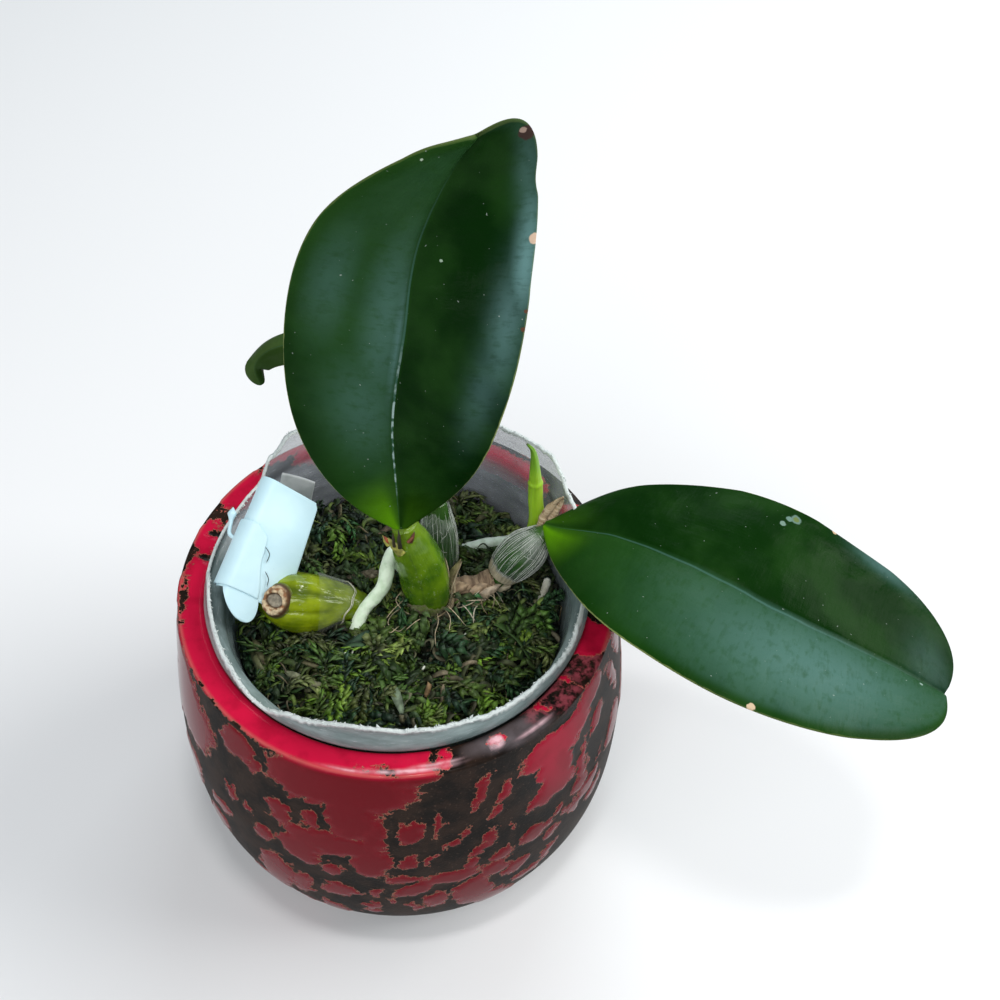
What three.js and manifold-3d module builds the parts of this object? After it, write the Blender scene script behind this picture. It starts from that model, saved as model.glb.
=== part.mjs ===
// A young cattleya orchid in a bellied ceramic pot. A clear nursery liner with
// a hand-cut rim stands in the pot, filled with moss. A creeping rhizome
// carries the pseudobulbs, three leaves, a new shoot and thick white roots.
// Millimetres, +Z up, origin at the centre of the pot's foot.

import * as THREE from 'three';
import { mergeVertices } from 'three/addons/utils/BufferGeometryUtils.js';
import Module from 'manifold-3d';

const wasm = await Module();
wasm.setup();

// Driving dimensions of the ceramic pot
const POT_HEIGHT = 84;
const POT_FOOT_RADIUS = 33;
const POT_BELLY_RADIUS = 60;
const POT_BELLY_HEIGHT = 43;
const POT_RIDGE_RADIUS = 55.3;
const POT_MOUTH_RADIUS = 47.6;
const POT_WALL = 6.5;
const POT_FLOOR = 7;
const POT_FOOT_CURVE = 3.4;
const POT_SHOULDER_CURVE = 1.36;
const POT_FOOT_EDGE = 1.5;
const POT_RIM_EDGE = 1.8;
const POT_RIM_DIP = 0.4;
const POT_SIDES = 52;

// Driving dimensions of the nursery liner
const LINER_FLOOR_RADIUS = 33;
const LINER_WALL = 1;
const LINER_NECK_HEIGHT = 84;
const LINER_NECK_RADIUS = 45.4;
const LINER_FLARE = 0.19;
const LINER_CUT_FROM = 70;
const LINER_TALLEST = 101;
const LINER_SIDES = 48;
const LINER_BURR = 0.35;

// Height of the cut rim at each bearing, counted from +X towards +Y
const RIM_HEIGHTS = [
  [0, 90], [14, 93.5], [24, 96], [38, 101], [60, 99], [95, 98.5], [130, 98.5], [138, 95], [147, 88.5],
  [156, 86], [179, 86.5], [190, 90], [215, 87.5], [231, 85], [245, 88.5], [263, 91.5], [285, 90],
  [310, 88.4], [335, 87.6], [350, 89],
];

// Driving dimensions of the moss
const MOSS_HEIGHT = 71.5;
const MOSS_FLOOR = 9;
const MOSS_RELIEF = 1.6;
const MOSS_EDGE_DROP = 3;
const MOSS_RINGS = 8;
const MOSS_SIDES = 36;
const MOSS_SPRIGS = 34;
const SPRIG_REACH = 38.5;
const SPRIG_LENGTH = [5, 9];
const SPRIG_RADIUS = [1.1, 0.45];

// Clearance between touching pieces, and the least wall of a papery sleeve
const GAP = 0.3;
const PAPER = 0.7;

// Blade shared by the leaves: its thickness, its cupping, where the tip's lobes part
// from the rest, the rib under the base and the thickening where it joins the bulb
const LEAF_THICKNESS = 1.5;
const LEAF_CUP = 0.12;
const LEAF_LOBE = 0.5;
const LEAF_RIB = 0.9;
const LEAF_STALK = 1.5;

const FRONT_LEAF = {
  spine: [
    [1, 2.8, 104.5], [0, 7.4, 134.5], [3, 13.6, 158.2],
    [6.2, 17.6, 179.4], [14, 18.8, 199], [18.1, 18, 205.8],
  ],
  facing: [0, -1, 0.2],
  halfWidth: [27, 28],
  fullness: [0.66, 0.74],
  lobe: [1.04, 1.14],
  fold: [[3, 15.5, 13.5], [3, 19.5, -7.5]],
  twist: [6, -10, 38],
  neck: 2.4,
  sides: 18,
  steps: 22,
};

const RIGHT_LEAF = {
  spine: [
    [37.6, 13.2, 91.4], [52.4, 4.2, 100.8], [71, -8, 105.4],
    [91.8, -19, 102.8], [113.2, -25.6, 95.8], [130.9, -31.4, 90],
  ],
  facing: [0, -0.1, 1],
  halfWidth: [30, 30],
  fullness: [0.65, 0.42],
  lobe: [1.02, 1.01],
  fold: [[-2, 5, 9], [-6, 11.5, 17]],
  twist: [3, -1, -10],
  neck: 1.8,
  sides: 18,
  steps: 22,
};

const BACK_LEAF = {
  spine: [
    [8.6, 19.6, 92.8], [6, 25.5, 108], [-2, 30, 123], [-14, 32, 133.5],
    [-25, 31.5, 135.6], [-32, 30.5, 133.6], [-35.2, 29.8, 129.4], [-34.4, 29.4, 123.6],
  ],
  facing: [0, -0.35, 1],
  halfWidth: [8.5, 8.5],
  fullness: [0.5, 0.9],
  lobe: [1.01, 1.01],
  fold: [[10, 5, -40], [10, 5, -40]],
  twist: [0, 0, 0],
  neck: 1.6,
  sides: 12,
  steps: 18,
};

// Bulbs, roots and the shoot: points of the axis, and radii at even shares of it
const FRONT_BULB = {
  points: [[7.6, 3.2, 68.6], [7.3, 2.2, 76], [6.2, 2.8, 86.5], [3.5, 3, 97], [1.9, 2.9, 104.2]],
  radii: [4, 5.8, 6.1, 5.2, 3.2],
  sides: 16,
  steps: 12,
};
const BACK_BULB = {
  points: [[9.8, 14, 69], [9.8, 15, 76], [9.2, 17.8, 85], [8.6, 19.6, 92.8]],
  radii: [3.2, 4.1, 4, 2.6],
  sides: 12,
  steps: 9,
};
const RIGHT_BULB = {
  points: [[24.8, 7.4, 77], [27.8, 8.8, 81.1], [32.5, 10.8, 86.2], [37.2, 13, 91.2]],
  radii: [2.8, 4.7, 4.7, 1.9],
  sides: 14,
  steps: 9,
  facing: [0.2, -1, 1],
};
const CUT_BULB = {
  points: [[-35.6, -3.2, 78.6], [-30, -3.4, 79.1], [-22, -2.6, 78.2], [-14, -1.4, 76.6], [-9.4, -1.4, 74.8]],
  radii: [2.2, 6.1, 6.8, 6.2, 4.9, 3.9],
  sides: 16,
  steps: 14,
  facing: [0, -0.6, 1],
};
const CUT_SCAR = {
  centre: [-29.4, -6.6, 83.7],
  normal: [-0.28, -0.55, 0.79],
  radius: 3.1,
  foot: 4.2,
  height: 2,
  hollow: 1.7,
  hollowDepth: 1,
};
const RHIZOME = {
  points: [
    [-11, -1.8, 72], [-3, 0, 66.4], [8, 3, 65.4], [13.4, 5.8, 69.6],
    [13, 4.8, 74.6], [18, 5.8, 76.2], [24.2, 7.2, 77.4],
  ],
  radius: 2.7,
};
const SHOOT = {
  points: [
    [28.4, 14.6, 73], [33, 19.4, 76.2], [34.7, 22, 84], [34.2, 22.6, 92],
    [33.7, 22.5, 101.6], [32.7, 22.7, 110.6], [31.2, 22.4, 113.2],
  ],
  radius: 2.1,
};
const FRONT_ROOT = {
  points: [
    [0.6, 10, 77], [-2, 8.4, 85.6], [-2.9, 5, 84.8], [-3.7, 1, 81.8],
    [-6, -1.6, 79.6], [-8.9, -4.2, 77], [-10.6, -8, 73.4], [-11, -9.6, 70.4],
  ],
  radius: 1.95,
  taper: 0.85,
  flat: 0,
  steps: 18,
};
const BACK_ROOT = {
  points: [[13, 20.4, 71.4], [17, 19.6, 74.6], [23, 20.4, 75.8], [28.4, 21.6, 75.4], [30.8, 22.4, 70]],
  radius: 1.5,
  taper: 0.9,
  flat: 0,
  steps: 14,
};
const STUB_ROOT = {
  points: [[35.4, 1.6, 70], [37, 4.4, 75.4], [38.2, 6.8, 79]],
  radius: 0.95,
  taper: 1,
  flat: 0,
  steps: 8,
};
const DRY_ROOT = {
  points: [[-19.4, 5.2, 70.6], [-13, 7.6, 74.4], [-6.6, 8.8, 75.6], [-2.6, 8.6, 71.4]],
  radius: 1.25,
  taper: 0.9,
  flat: 0.55,
  steps: 10,
};

// Dry bract at the foot of the right leaf: a pointed scale that stands up behind it
const BRACT = {
  points: [[36.2, 15.6, 88.4], [37.6, 17.4, 91.6], [39.6, 18.4, 95.4], [41, 18, 98.6]],
  radius: 2.3,
  edge: 0.35,
};

// Plant label: the corner where its left edge starts, its own axes, and its parts
// as places u across from the left edge and v along it
const LABEL_CORNER = [-44.1, -7, 91];
const LABEL_UP = [8.9, 27.4, 9.8];
const LABEL_RIGHT = [14.6, -4.9, -6.2];
const LABEL_EDGE = [18.6, 16];
const LABEL_LENGTH = 30.6;
const LABEL_SLOPE = 0.12;
const LABEL_SAG = 9.5;
const LABEL_THICKNESS = 0.8;
const LABEL_ROLL = 4;
const FLAP_LENGTH = 18.2;
const FLAP_EDGE = [10.9, 6.6];
const TONGUE = { centre: [6.5, 0.3], radii: [4.8, 6.6], skew: 0.42 };
const SLITS = [
  [[7.7, 13.1], [9.4, 11.7], [9.5, 9.4]],
  [[10, 7.4], [11.5, 6.1], [11.9, 4.1]],
];
const HOOK = [[-40.6, 5.8, 92.2], [-42.7, 7.4, 92.2], [-42.7, 10.2, 93.2], [-42.4, 13.8, 95]];

// Rear tag: a plate behind the label, its foot in the moss
const TAG_WIDTH = 9;
const TAG_THICKNESS = 0.8;
const TAG_LENGTH = 30;
const TAG_TOP = [-28, 28.4, 90.4];
const TAG_LEAN = 24;
const TAG_TURN = -8;
const TAG_ROLL = 9;

// Finishes as seen: colour, roughness, metalness
const FINISH = {
  glaze: [0xa31524, 0.22],
  clearPlastic: [0xaab0b0, 0.35],
  moss: [0x39471a, 0.95],
  rhizome: [0x8d7050, 0.85],
  bulb: [0x5d7d1c, 0.45],
  darkBulb: [0x33501c, 0.45],
  paper: [0xb9bda6, 0.7],
  leaf: [0x15401a, 0.32],
  shoot: [0x7dac1f, 0.4],
  root: [0xc9d6c4, 0.8],
  dryRoot: [0x77705c, 0.9],
  label: [0xcfe9f3, 0.4],
  tag: [0xa4aaa8, 0.4],
  bract: [0xa98d62, 0.85],
};

// A repeatable random draw between 0 and 1
function seeded(seed) {
  let state = seed;
  return () => {
    state = (state * 1664525 + 1013904223) % 4294967296;
    return state / 4294967296;
  };
}

function point([x, y, z]) {
  return new THREE.Vector3(x, y, z);
}

function mix(a, b, share) {
  return a + (b - a) * share;
}

// The quadratic through a value at the base, the middle and the tip
function through([base, middle, tip], t) {
  return base * (1 - t) * (1 - 2 * t) + 4 * middle * t * (1 - t) + tip * t * (2 * t - 1);
}

// Position only, with shared vertices merged, so that the skin is closed
function bare(geometry) {
  geometry.deleteAttribute('normal');
  geometry.deleteAttribute('uv');
  return mergeVertices(geometry, 1e-4);
}

function solidOf(geometry) {
  const closed = geometry.attributes.normal ? bare(geometry) : geometry;
  const vertProperties = Float32Array.from(closed.attributes.position.array);
  const triVerts = Uint32Array.from(closed.index.array);
  return new wasm.Manifold(new wasm.Mesh({ numProp: 3, vertProperties, triVerts }));
}

// The largest body of a solid, as a geometry: loose scraps are dropped
function geometryOf(solid) {
  const bodies = solid.decompose();
  bodies.sort((a, b) => b.volume() - a.volume());
  const mesh = bodies[0].getMesh();
  const geometry = new THREE.BufferGeometry();
  geometry.setAttribute('position', new THREE.BufferAttribute(Float32Array.from(mesh.vertProperties), 3));
  geometry.setIndex(Array.from(mesh.triVerts));
  return geometry;
}

function join(solids) {
  return wasm.Manifold.union(solids);
}

// The axes at a share t of a curve: along it, outward and across
function axesAt(curve, facing, t) {
  const held = Math.min(Math.max(t, 0), 1);
  const along = curve.getTangentAt(held).normalize();
  const origin = curve.getPointAt(held).addScaledVector(along, (t - held) * curve.getLength());
  const out = facing.clone().addScaledVector(along, -facing.dot(along)).normalize();
  const across = along.clone().cross(out);
  return { origin, along, out, across };
}

// A closed skin along a curve: a cylinder whose rings are moved to where
// place(angle, t, reach) puts them, with reach 1 on the skin and 0 at a cap's centre
function skin(sides, steps, place) {
  const geometry = bare(new THREE.CylinderGeometry(1, 1, 1, sides, steps));
  const position = geometry.attributes.position;
  for (let i = 0; i < position.count; i += 1) {
    const t = position.getY(i) + 0.5;
    const reach = Math.min(1, Math.hypot(position.getX(i), position.getZ(i)));
    const angle = Math.atan2(position.getX(i), position.getZ(i));
    const spot = place(angle, t, reach);
    position.setXYZ(i, spot.x, spot.y, spot.z);
  }
  return geometry;
}

// The smooth run through values set at even shares of a length
function smooth(values) {
  const last = values.length - 1;
  const run = new THREE.SplineCurve(values.map((value, i) => new THREE.Vector2(i / last, value)));
  return (t) => run.getPoint(Math.min(Math.max(t, 0), 1)).y;
}

// A round stem along points; width(t, angle) is its radius, grow adds to it all round
function stem({ points, width, sides = 12, steps = 12, facing = [0, -1, 0.3], grow = 0 }) {
  const curve = new THREE.CatmullRomCurve3(points.map(point), false, 'centripetal');
  const outward = point(facing);
  const overrun = grow / curve.getLength();
  return skin(sides, steps, (angle, t, reach) => {
    const eased = 0.5 - 0.5 * Math.cos(Math.PI * t);
    const { origin, out, across } = axesAt(curve, outward, mix(-overrun, 1 + overrun, eased));
    const radius = (width(eased, angle) + grow) * reach;
    origin.addScaledVector(across, radius * Math.sin(angle));
    return origin.addScaledVector(out, radius * Math.cos(angle));
  });
}

// Height of the liner's cut rim at a bearing in degrees
function rimHeight(bearing) {
  const turned = ((bearing % 360) + 360) % 360;
  const closed = [...RIM_HEIGHTS, [360, RIM_HEIGHTS[0][1]]];
  const next = closed.findIndex(([edge]) => edge > turned);
  const [fromBearing, fromHeight] = closed[next - 1];
  const [toBearing, toHeight] = closed[next];
  const share = (turned - fromBearing) / (toBearing - fromBearing);
  return mix(fromHeight, toHeight, share * share * (3 - 2 * share));
}

// Outer radius of the liner at a height: a taper that flares towards the rim
function linerRadius(z) {
  const taper = (LINER_NECK_RADIUS - LINER_FLOOR_RADIUS) / (LINER_NECK_HEIGHT - POT_FLOOR);
  if (z < LINER_NECK_HEIGHT) return LINER_FLOOR_RADIUS + (z - POT_FLOOR) * taper;
  return LINER_NECK_RADIUS + (z - LINER_NECK_HEIGHT) * LINER_FLARE;
}

function potRadius(z) {
  if (z < POT_BELLY_HEIGHT) {
    const t = (POT_BELLY_HEIGHT - z) / POT_BELLY_HEIGHT;
    const swell = (1 - t ** POT_FOOT_CURVE) ** (1 / POT_FOOT_CURVE);
    return mix(POT_FOOT_RADIUS, POT_BELLY_RADIUS, swell);
  }
  const t = (z - POT_BELLY_HEIGHT) / (POT_HEIGHT - POT_BELLY_HEIGHT);
  return mix(POT_BELLY_RADIUS, POT_RIDGE_RADIUS, t ** POT_SHOULDER_CURVE);
}

// Ceramic pot: belly, soft ridge, sloped rim band, and a hollow that follows the wall
function ceramicPot() {
  const outline = [new THREE.Vector2(0, 0), new THREE.Vector2(POT_FOOT_RADIUS - POT_FOOT_EDGE, 0)];
  const footRows = 7;
  for (let i = 0; i <= footRows; i += 1) {
    const share = i / footRows;
    const z = POT_BELLY_HEIGHT * (1 - Math.cos(share * Math.PI * 0.5)) + 0.6 * (1 - share);
    outline.push(new THREE.Vector2(potRadius(z), z));
  }
  const shoulderRows = 4;
  for (let i = 1; i <= shoulderRows; i += 1) {
    const z = mix(POT_BELLY_HEIGHT, POT_HEIGHT - 2, i / shoulderRows);
    outline.push(new THREE.Vector2(potRadius(z), z));
  }
  outline.push(new THREE.Vector2(POT_RIDGE_RADIUS - 0.5, POT_HEIGHT - POT_RIM_DIP));
  outline.push(new THREE.Vector2(POT_RIDGE_RADIUS - POT_RIM_EDGE, POT_HEIGHT));
  outline.push(new THREE.Vector2(POT_MOUTH_RADIUS + 1.4, POT_HEIGHT - POT_RIM_DIP));
  outline.push(new THREE.Vector2(POT_MOUTH_RADIUS, POT_HEIGHT - POT_RIM_EDGE));
  outline.push(new THREE.Vector2(POT_MOUTH_RADIUS + 0.4, POT_HEIGHT - 6));
  for (const z of [64, 43, 24, 12]) {
    outline.push(new THREE.Vector2(potRadius(z) - POT_WALL - (z < 20 ? 1.5 : 0), z));
  }
  outline.push(new THREE.Vector2(POT_FOOT_RADIUS + 4, POT_FLOOR));
  outline.push(new THREE.Vector2(0, POT_FLOOR));
  return upright(new THREE.LatheGeometry(outline, POT_SIDES));
}

// A lathe turns about Y: stand it up about Z
function upright(geometry) {
  geometry.rotateX(Math.PI / 2);
  return bare(geometry);
}

// Clear liner: a tapered cup, its rim raised and lowered by the hand-made cut
function plasticLiner(cutters) {
  const floor = POT_FLOOR + GAP;
  const heights = [floor + 2, LINER_CUT_FROM, LINER_NECK_HEIGHT, LINER_TALLEST];
  const outline = [new THREE.Vector2(0, floor), new THREE.Vector2(LINER_FLOOR_RADIUS - 2, floor)];
  for (const z of heights) outline.push(new THREE.Vector2(linerRadius(z), z));
  for (const z of [...heights].reverse()) outline.push(new THREE.Vector2(linerRadius(z) - LINER_WALL, z));
  outline.push(new THREE.Vector2(LINER_FLOOR_RADIUS - 2.4, floor + LINER_WALL));
  outline.push(new THREE.Vector2(0, floor + LINER_WALL));
  const geometry = upright(new THREE.LatheGeometry(outline, LINER_SIDES));
  const burr = seeded(11);
  const burrs = Array.from({ length: LINER_SIDES }, () => LINER_BURR * (2 * burr() - 1));
  const position = geometry.attributes.position;
  for (let i = 0; i < position.count; i += 1) {
    const z = position.getZ(i);
    if (z <= LINER_CUT_FROM + 0.01) continue;
    const bearing = Math.atan2(position.getY(i), position.getX(i));
    const column = Math.round((bearing / (2 * Math.PI)) * LINER_SIDES + LINER_SIDES) % LINER_SIDES;
    const rim = rimHeight((bearing * 180) / Math.PI) + burrs[column];
    const lowered = mix(LINER_CUT_FROM, rim, (z - LINER_CUT_FROM) / (LINER_TALLEST - LINER_CUT_FROM));
    const radius = Math.hypot(position.getX(i), position.getY(i));
    const inward = linerRadius(z) - radius;
    const turned = (linerRadius(lowered) - inward) / radius;
    position.setXYZ(i, position.getX(i) * turned, position.getY(i) * turned, lowered);
  }
  return geometryOf(solidOf(geometry).subtract(join(cutters)));
}

// Gentle hummocks of the moss surface
function mossRelief(x, y) {
  const broad = Math.sin(0.19 * x + 0.6) * Math.cos(0.17 * y - 0.4);
  const fine = Math.sin(0.52 * x - 0.31 * y) * Math.cos(0.43 * y + 0.27 * x + 1.1);
  const drop = Math.max(0, (Math.hypot(x, y) - 33) / 9) ** 2;
  return MOSS_RELIEF * (0.6 * broad + 0.4 * fine) - MOSS_EDGE_DROP * drop;
}

// A curled sprig: rooted in the bed, lifted off it and bent to one side
function mossSprig(draw) {
  const reach = SPRIG_REACH * Math.sqrt(draw());
  const bearing = 2 * Math.PI * draw();
  const x = reach * Math.cos(bearing);
  const y = reach * Math.sin(bearing);
  const heading = 2 * Math.PI * draw();
  const length = mix(...SPRIG_LENGTH, draw());
  const curl = mix(-1.4, 1.4, draw());
  const rise = mix(1.6, 3.4, draw());
  const points = [0, 0.35, 0.7, 1].map((share) => {
    const turned = heading + curl * share;
    const lift = rise * Math.sin(Math.PI * Math.min(1, share * 0.95 + 0.05)) - 1.4 * (1 - share);
    const px = x + length * share * Math.cos(turned);
    const py = y + length * share * Math.sin(turned);
    return [px, py, MOSS_HEIGHT + mossRelief(px, py) + lift];
  });
  const width = (t) => mix(...SPRIG_RADIUS, t) * (1 + 0.25 * Math.sin(14 * t));
  return solidOf(stem({ points, width, sides: 4, steps: 5, facing: [0.1, 0.2, 1] }));
}

// Moss: fills the liner, with curled sprigs on top; neighbours stand in it with clearance
function mossBed(neighbours) {
  const wall = (z) => linerRadius(z) - LINER_WALL - GAP;
  const outline = [new THREE.Vector2(0, MOSS_FLOOR), new THREE.Vector2(LINER_FLOOR_RADIUS - 4, MOSS_FLOOR)];
  outline.push(new THREE.Vector2(wall(MOSS_FLOOR + 3), MOSS_FLOOR + 3));
  const shore = MOSS_HEIGHT - MOSS_EDGE_DROP - MOSS_RELIEF;
  outline.push(new THREE.Vector2(wall(shore), shore - 1));
  for (let ring = 0; ring < MOSS_RINGS; ring += 1) {
    outline.push(new THREE.Vector2(mix(wall(shore) - 0.4, 3, ring / (MOSS_RINGS - 1)), MOSS_HEIGHT));
  }
  outline.push(new THREE.Vector2(0, MOSS_HEIGHT));
  const bed = upright(new THREE.LatheGeometry(outline, MOSS_SIDES));
  const position = bed.attributes.position;
  for (let i = 0; i < position.count; i += 1) {
    if (position.getZ(i) < MOSS_HEIGHT - 0.01) continue;
    position.setZ(i, MOSS_HEIGHT + mossRelief(position.getX(i), position.getY(i)));
  }
  const draw = seeded(2026);
  const sprigs = Array.from({ length: MOSS_SPRIGS }, () => mossSprig(draw));
  const roomOutline = [[0, 60], [wall(60) - GAP, 60], [wall(83) - GAP, 83], [0, 83]];
  const room = new THREE.LatheGeometry(roomOutline.map(([r, z]) => new THREE.Vector2(r, z)), LINER_SIDES);
  const inside = join(sprigs).intersect(solidOf(upright(room)));
  return geometryOf(solidOf(bed).add(inside).subtract(join(neighbours)));
}

// A leaf: two half blades on a midrib, folded up along it, with a notched tip
function leaf(shape, grow = 0) {
  const curve = new THREE.CatmullRomCurve3(shape.spine.map(point), false, 'centripetal');
  const facing = point(shape.facing);
  const [toBase, toTip] = shape.fullness;
  const peak = toBase / (toBase + toTip);
  const fullest = peak ** toBase * (1 - peak) ** toTip;
  return skin(shape.sides, shape.steps, (angle, step, reach) => {
    const eased = mix(0.004, 0.985, step);
    const t = 0.5 - 0.5 * Math.cos(Math.PI * eased);
    const outline = (t ** toBase * (1 - t) ** toTip) / fullest;
    const side = Math.sin(angle) < 0 ? 0 : 1;
    const spread = Math.abs(Math.sin(angle)) * reach;
    const late = t > peak && outline < LEAF_LOBE ? (1 - outline / LEAF_LOBE) ** 2 : 0;
    const edge = t * shape.lobe[side] - (shape.lobe[side] - 1) * late;
    const { origin, out, across } = axesAt(curve, facing, mix(t, edge, spread ** 1.5));
    const twist = (through(shape.twist, t) * Math.PI) / 180;
    const normal = out.clone().multiplyScalar(Math.cos(twist)).addScaledVector(across, Math.sin(twist));
    const level = across.clone().multiplyScalar(Math.cos(twist)).addScaledVector(out, -Math.sin(twist));
    const fold = (through(shape.fold[side], t) * Math.PI) / 180;
    const towards = side === 0 ? -1 : 1;
    const full = Math.hypot(shape.halfWidth[side] * outline, shape.neck * (1 - t) ** 4) + grow;
    const width = full * spread;
    const cup = (LEAF_CUP * width * width) / shape.halfWidth[side];
    origin.addScaledVector(level, towards * width * Math.cos(fold));
    origin.addScaledVector(normal, width * Math.sin(fold) - cup);
    const face = Math.cos(angle);
    const rib = face < 0 ? LEAF_RIB * (1 - t) ** 1.2 * Math.max(0, 1 - spread * 4) : 0;
    const stalk = LEAF_STALK * (1 - t) ** 30;
    const half = (LEAF_THICKNESS / 2 + stalk) * Math.abs(face) ** 0.5 + grow * Math.abs(face) + rib;
    const blade = normal.clone().multiplyScalar(Math.cos(fold));
    blade.addScaledVector(level, -towards * Math.sin(fold));
    return origin.addScaledVector(blade, Math.sign(face) * half * reach);
  });
}

// A pseudobulb: a spindle with shallow flutes
function bulb(shape, flutes, depth) {
  const run = smooth(shape.radii);
  const width = (t, angle) => run(t) * (1 + depth * Math.cos(flutes * angle + 0.7) * Math.sin(Math.PI * t));
  return { ...shape, width };
}

const bulbShapes = {
  front: bulb(FRONT_BULB, 5, 0.04),
  back: bulb(BACK_BULB, 4, 0.04),
  right: bulb(RIGHT_BULB, 4, 0.04),
  cut: bulb(CUT_BULB, 6, 0.05),
};

// The old bulb, with the raised ring and hollow of the scar where it was cut
function cutBulb(grow = 0) {
  const egg = solidOf(stem({ ...bulbShapes.cut, grow }));
  const normal = point(CUT_SCAR.normal).normalize();
  const aim = new THREE.Quaternion().setFromUnitVectors(new THREE.Vector3(0, 1, 0), normal);
  const disc = (top, bottom, depth, lift) => {
    const geometry = new THREE.CylinderGeometry(top, bottom, depth, 14);
    geometry.translate(0, lift, 0);
    geometry.applyQuaternion(aim);
    geometry.translate(...CUT_SCAR.centre);
    return solidOf(bare(geometry));
  };
  const { radius, foot, height, hollow, hollowDepth } = CUT_SCAR;
  const whole = egg.add(disc(radius + grow, foot + grow, height + grow, grow / 2 - 0.5));
  return grow > 0 ? whole : whole.subtract(disc(hollow, hollow * 0.7, hollowDepth, 0.3));
}

// A papery sleeve round a bulb between two shares of its length, open at both ends,
// or with no clearance the whole plug that it takes up
function sleeve(shape, from, to, clearance, thickness, frill) {
  const curve = new THREE.CatmullRomCurve3(shape.points.map(point), false, 'centripetal');
  const outward = point(shape.facing ?? [0, -1, 0.3]);
  const layer = (start, end, grow) => skin(shape.sides, 5, (angle, t, reach) => {
    const share = mix(start, end, t);
    const wave = frill * Math.cos(3 * angle + 0.8) * t;
    const { origin, out, across } = axesAt(curve, outward, share + wave);
    const held = Math.min(Math.max(share, 0), 1);
    const radius = (shape.width(held, angle) + grow) * reach;
    origin.addScaledVector(across, radius * Math.sin(angle));
    return origin.addScaledVector(out, radius * Math.cos(angle));
  });
  const outer = solidOf(layer(from, to, clearance + thickness));
  if (clearance === 0) return outer;
  return outer.subtract(solidOf(layer(from - 0.12, to + 0.12, clearance)));
}

// Rhizome: a knobbly stem whose joints stand out as rings
function rhizome(grow = 0) {
  const width = (t) => RHIZOME.radius * (1 + 0.14 * Math.sin(26 * t) + 0.08 * Math.sin(61 * t));
  return stem({ ...RHIZOME, width, sides: 8, steps: 20, facing: [0.1, -0.3, 0.2], grow });
}

// New shoot: a lower sheath with a step, then a slimmer hooked point
function newShoot(grow = 0) {
  const width = (t) => {
    const lower = mix(SHOOT.radius * 1.08, SHOOT.radius * 0.86, t / 0.68);
    const upper = mix(SHOOT.radius * 0.74, SHOOT.radius * 0.2, Math.max(0, (t - 0.68) / 0.32) ** 1.3);
    return t < 0.68 ? lower : upper;
  };
  return stem({ ...SHOOT, width, sides: 10, steps: 18, facing: [0, -1, 0.1], grow });
}

// A root: even along its length, rounded off at its free end
function root(shape, grow = 0) {
  const width = (t, angle) => {
    const rounded = Math.min(1, ((1 - t) / 0.07 + 0.25)) ** 0.5;
    const wobble = 1 + 0.06 * Math.sin(17 * t);
    return shape.radius * rounded * wobble * mix(1, shape.taper, t) * (1 - shape.flat * Math.cos(angle) ** 2);
  };
  return stem({ ...shape, width, sides: 8, facing: [0.1, -0.5, 1], grow });
}

const labelUp = point(LABEL_UP).normalize();
const labelRight = point(LABEL_RIGHT).addScaledVector(labelUp, -point(LABEL_RIGHT).dot(labelUp)).normalize();
const labelOut = labelRight.clone().cross(labelUp);

// A spot on the bent label: u across from its left edge, v along it, h above it.
// Its lower right corner sags to the old bulb, and left of the roll's centre the
// sheet turns back round a cylinder
function labelSpot(u, v, h) {
  const spot = point(LABEL_CORNER).addScaledVector(labelUp, v);
  const sag = LABEL_SAG * (Math.max(0, u) / LABEL_EDGE[0]) ** 3 * (1 - v / LABEL_LENGTH);
  if (u >= LABEL_ROLL) return spot.addScaledVector(labelRight, u).addScaledVector(labelOut, h - sag);
  const turn = (LABEL_ROLL - u) / LABEL_ROLL;
  const radius = LABEL_ROLL + h - sag;
  spot.addScaledVector(labelRight, LABEL_ROLL - radius * Math.sin(turn));
  return spot.addScaledVector(labelOut, radius * Math.cos(turn) - LABEL_ROLL);
}

// A bent sheet on the label from the roll to the edge, which runs from one place
// at its foot to another at its sloping top
function labelSheet(fromU, edge, fromV, toV, low, high) {
  const geometry = bare(new THREE.BoxGeometry(1, 1, 1, 8, 3, 1));
  const position = geometry.attributes.position;
  for (let i = 0; i < position.count; i += 1) {
    const share = position.getY(i) + 0.5;
    const u = mix(fromU, mix(...edge, share), 0.5 + position.getX(i));
    const h = mix(low, high, position.getZ(i) + 0.5);
    const spot = labelSpot(u, mix(fromV, toV - LABEL_SLOPE * Math.max(0, u), share), h);
    position.setXYZ(i, spot.x, spot.y, spot.z);
  }
  return solidOf(geometry);
}

// The round tongue below the flap: a skewed oval disc, its upper half inside the sheet
function labelTongue(low, high, grow = 0) {
  const geometry = bare(new THREE.CylinderGeometry(1, 1, 1, 20));
  const position = geometry.attributes.position;
  for (let i = 0; i < position.count; i += 1) {
    const v = position.getZ(i) * (TONGUE.radii[1] + grow);
    const u = TONGUE.centre[0] + position.getX(i) * (TONGUE.radii[0] + grow) + TONGUE.skew * v;
    const spot = labelSpot(u, TONGUE.centre[1] - v, mix(low, high, position.getY(i) + 0.5));
    position.setXYZ(i, spot.x, spot.y, spot.z);
  }
  return solidOf(turnedOutward(geometry));
}

// A mapping that mirrors turns the faces inward: swap two corners of each
function turnedOutward(geometry) {
  if (signedVolume(geometry) > 0) return geometry;
  const index = geometry.index;
  for (let i = 0; i < index.count; i += 3) {
    const first = index.getX(i);
    index.setX(i, index.getX(i + 1));
    index.setX(i + 1, first);
  }
  return geometry;
}

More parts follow.
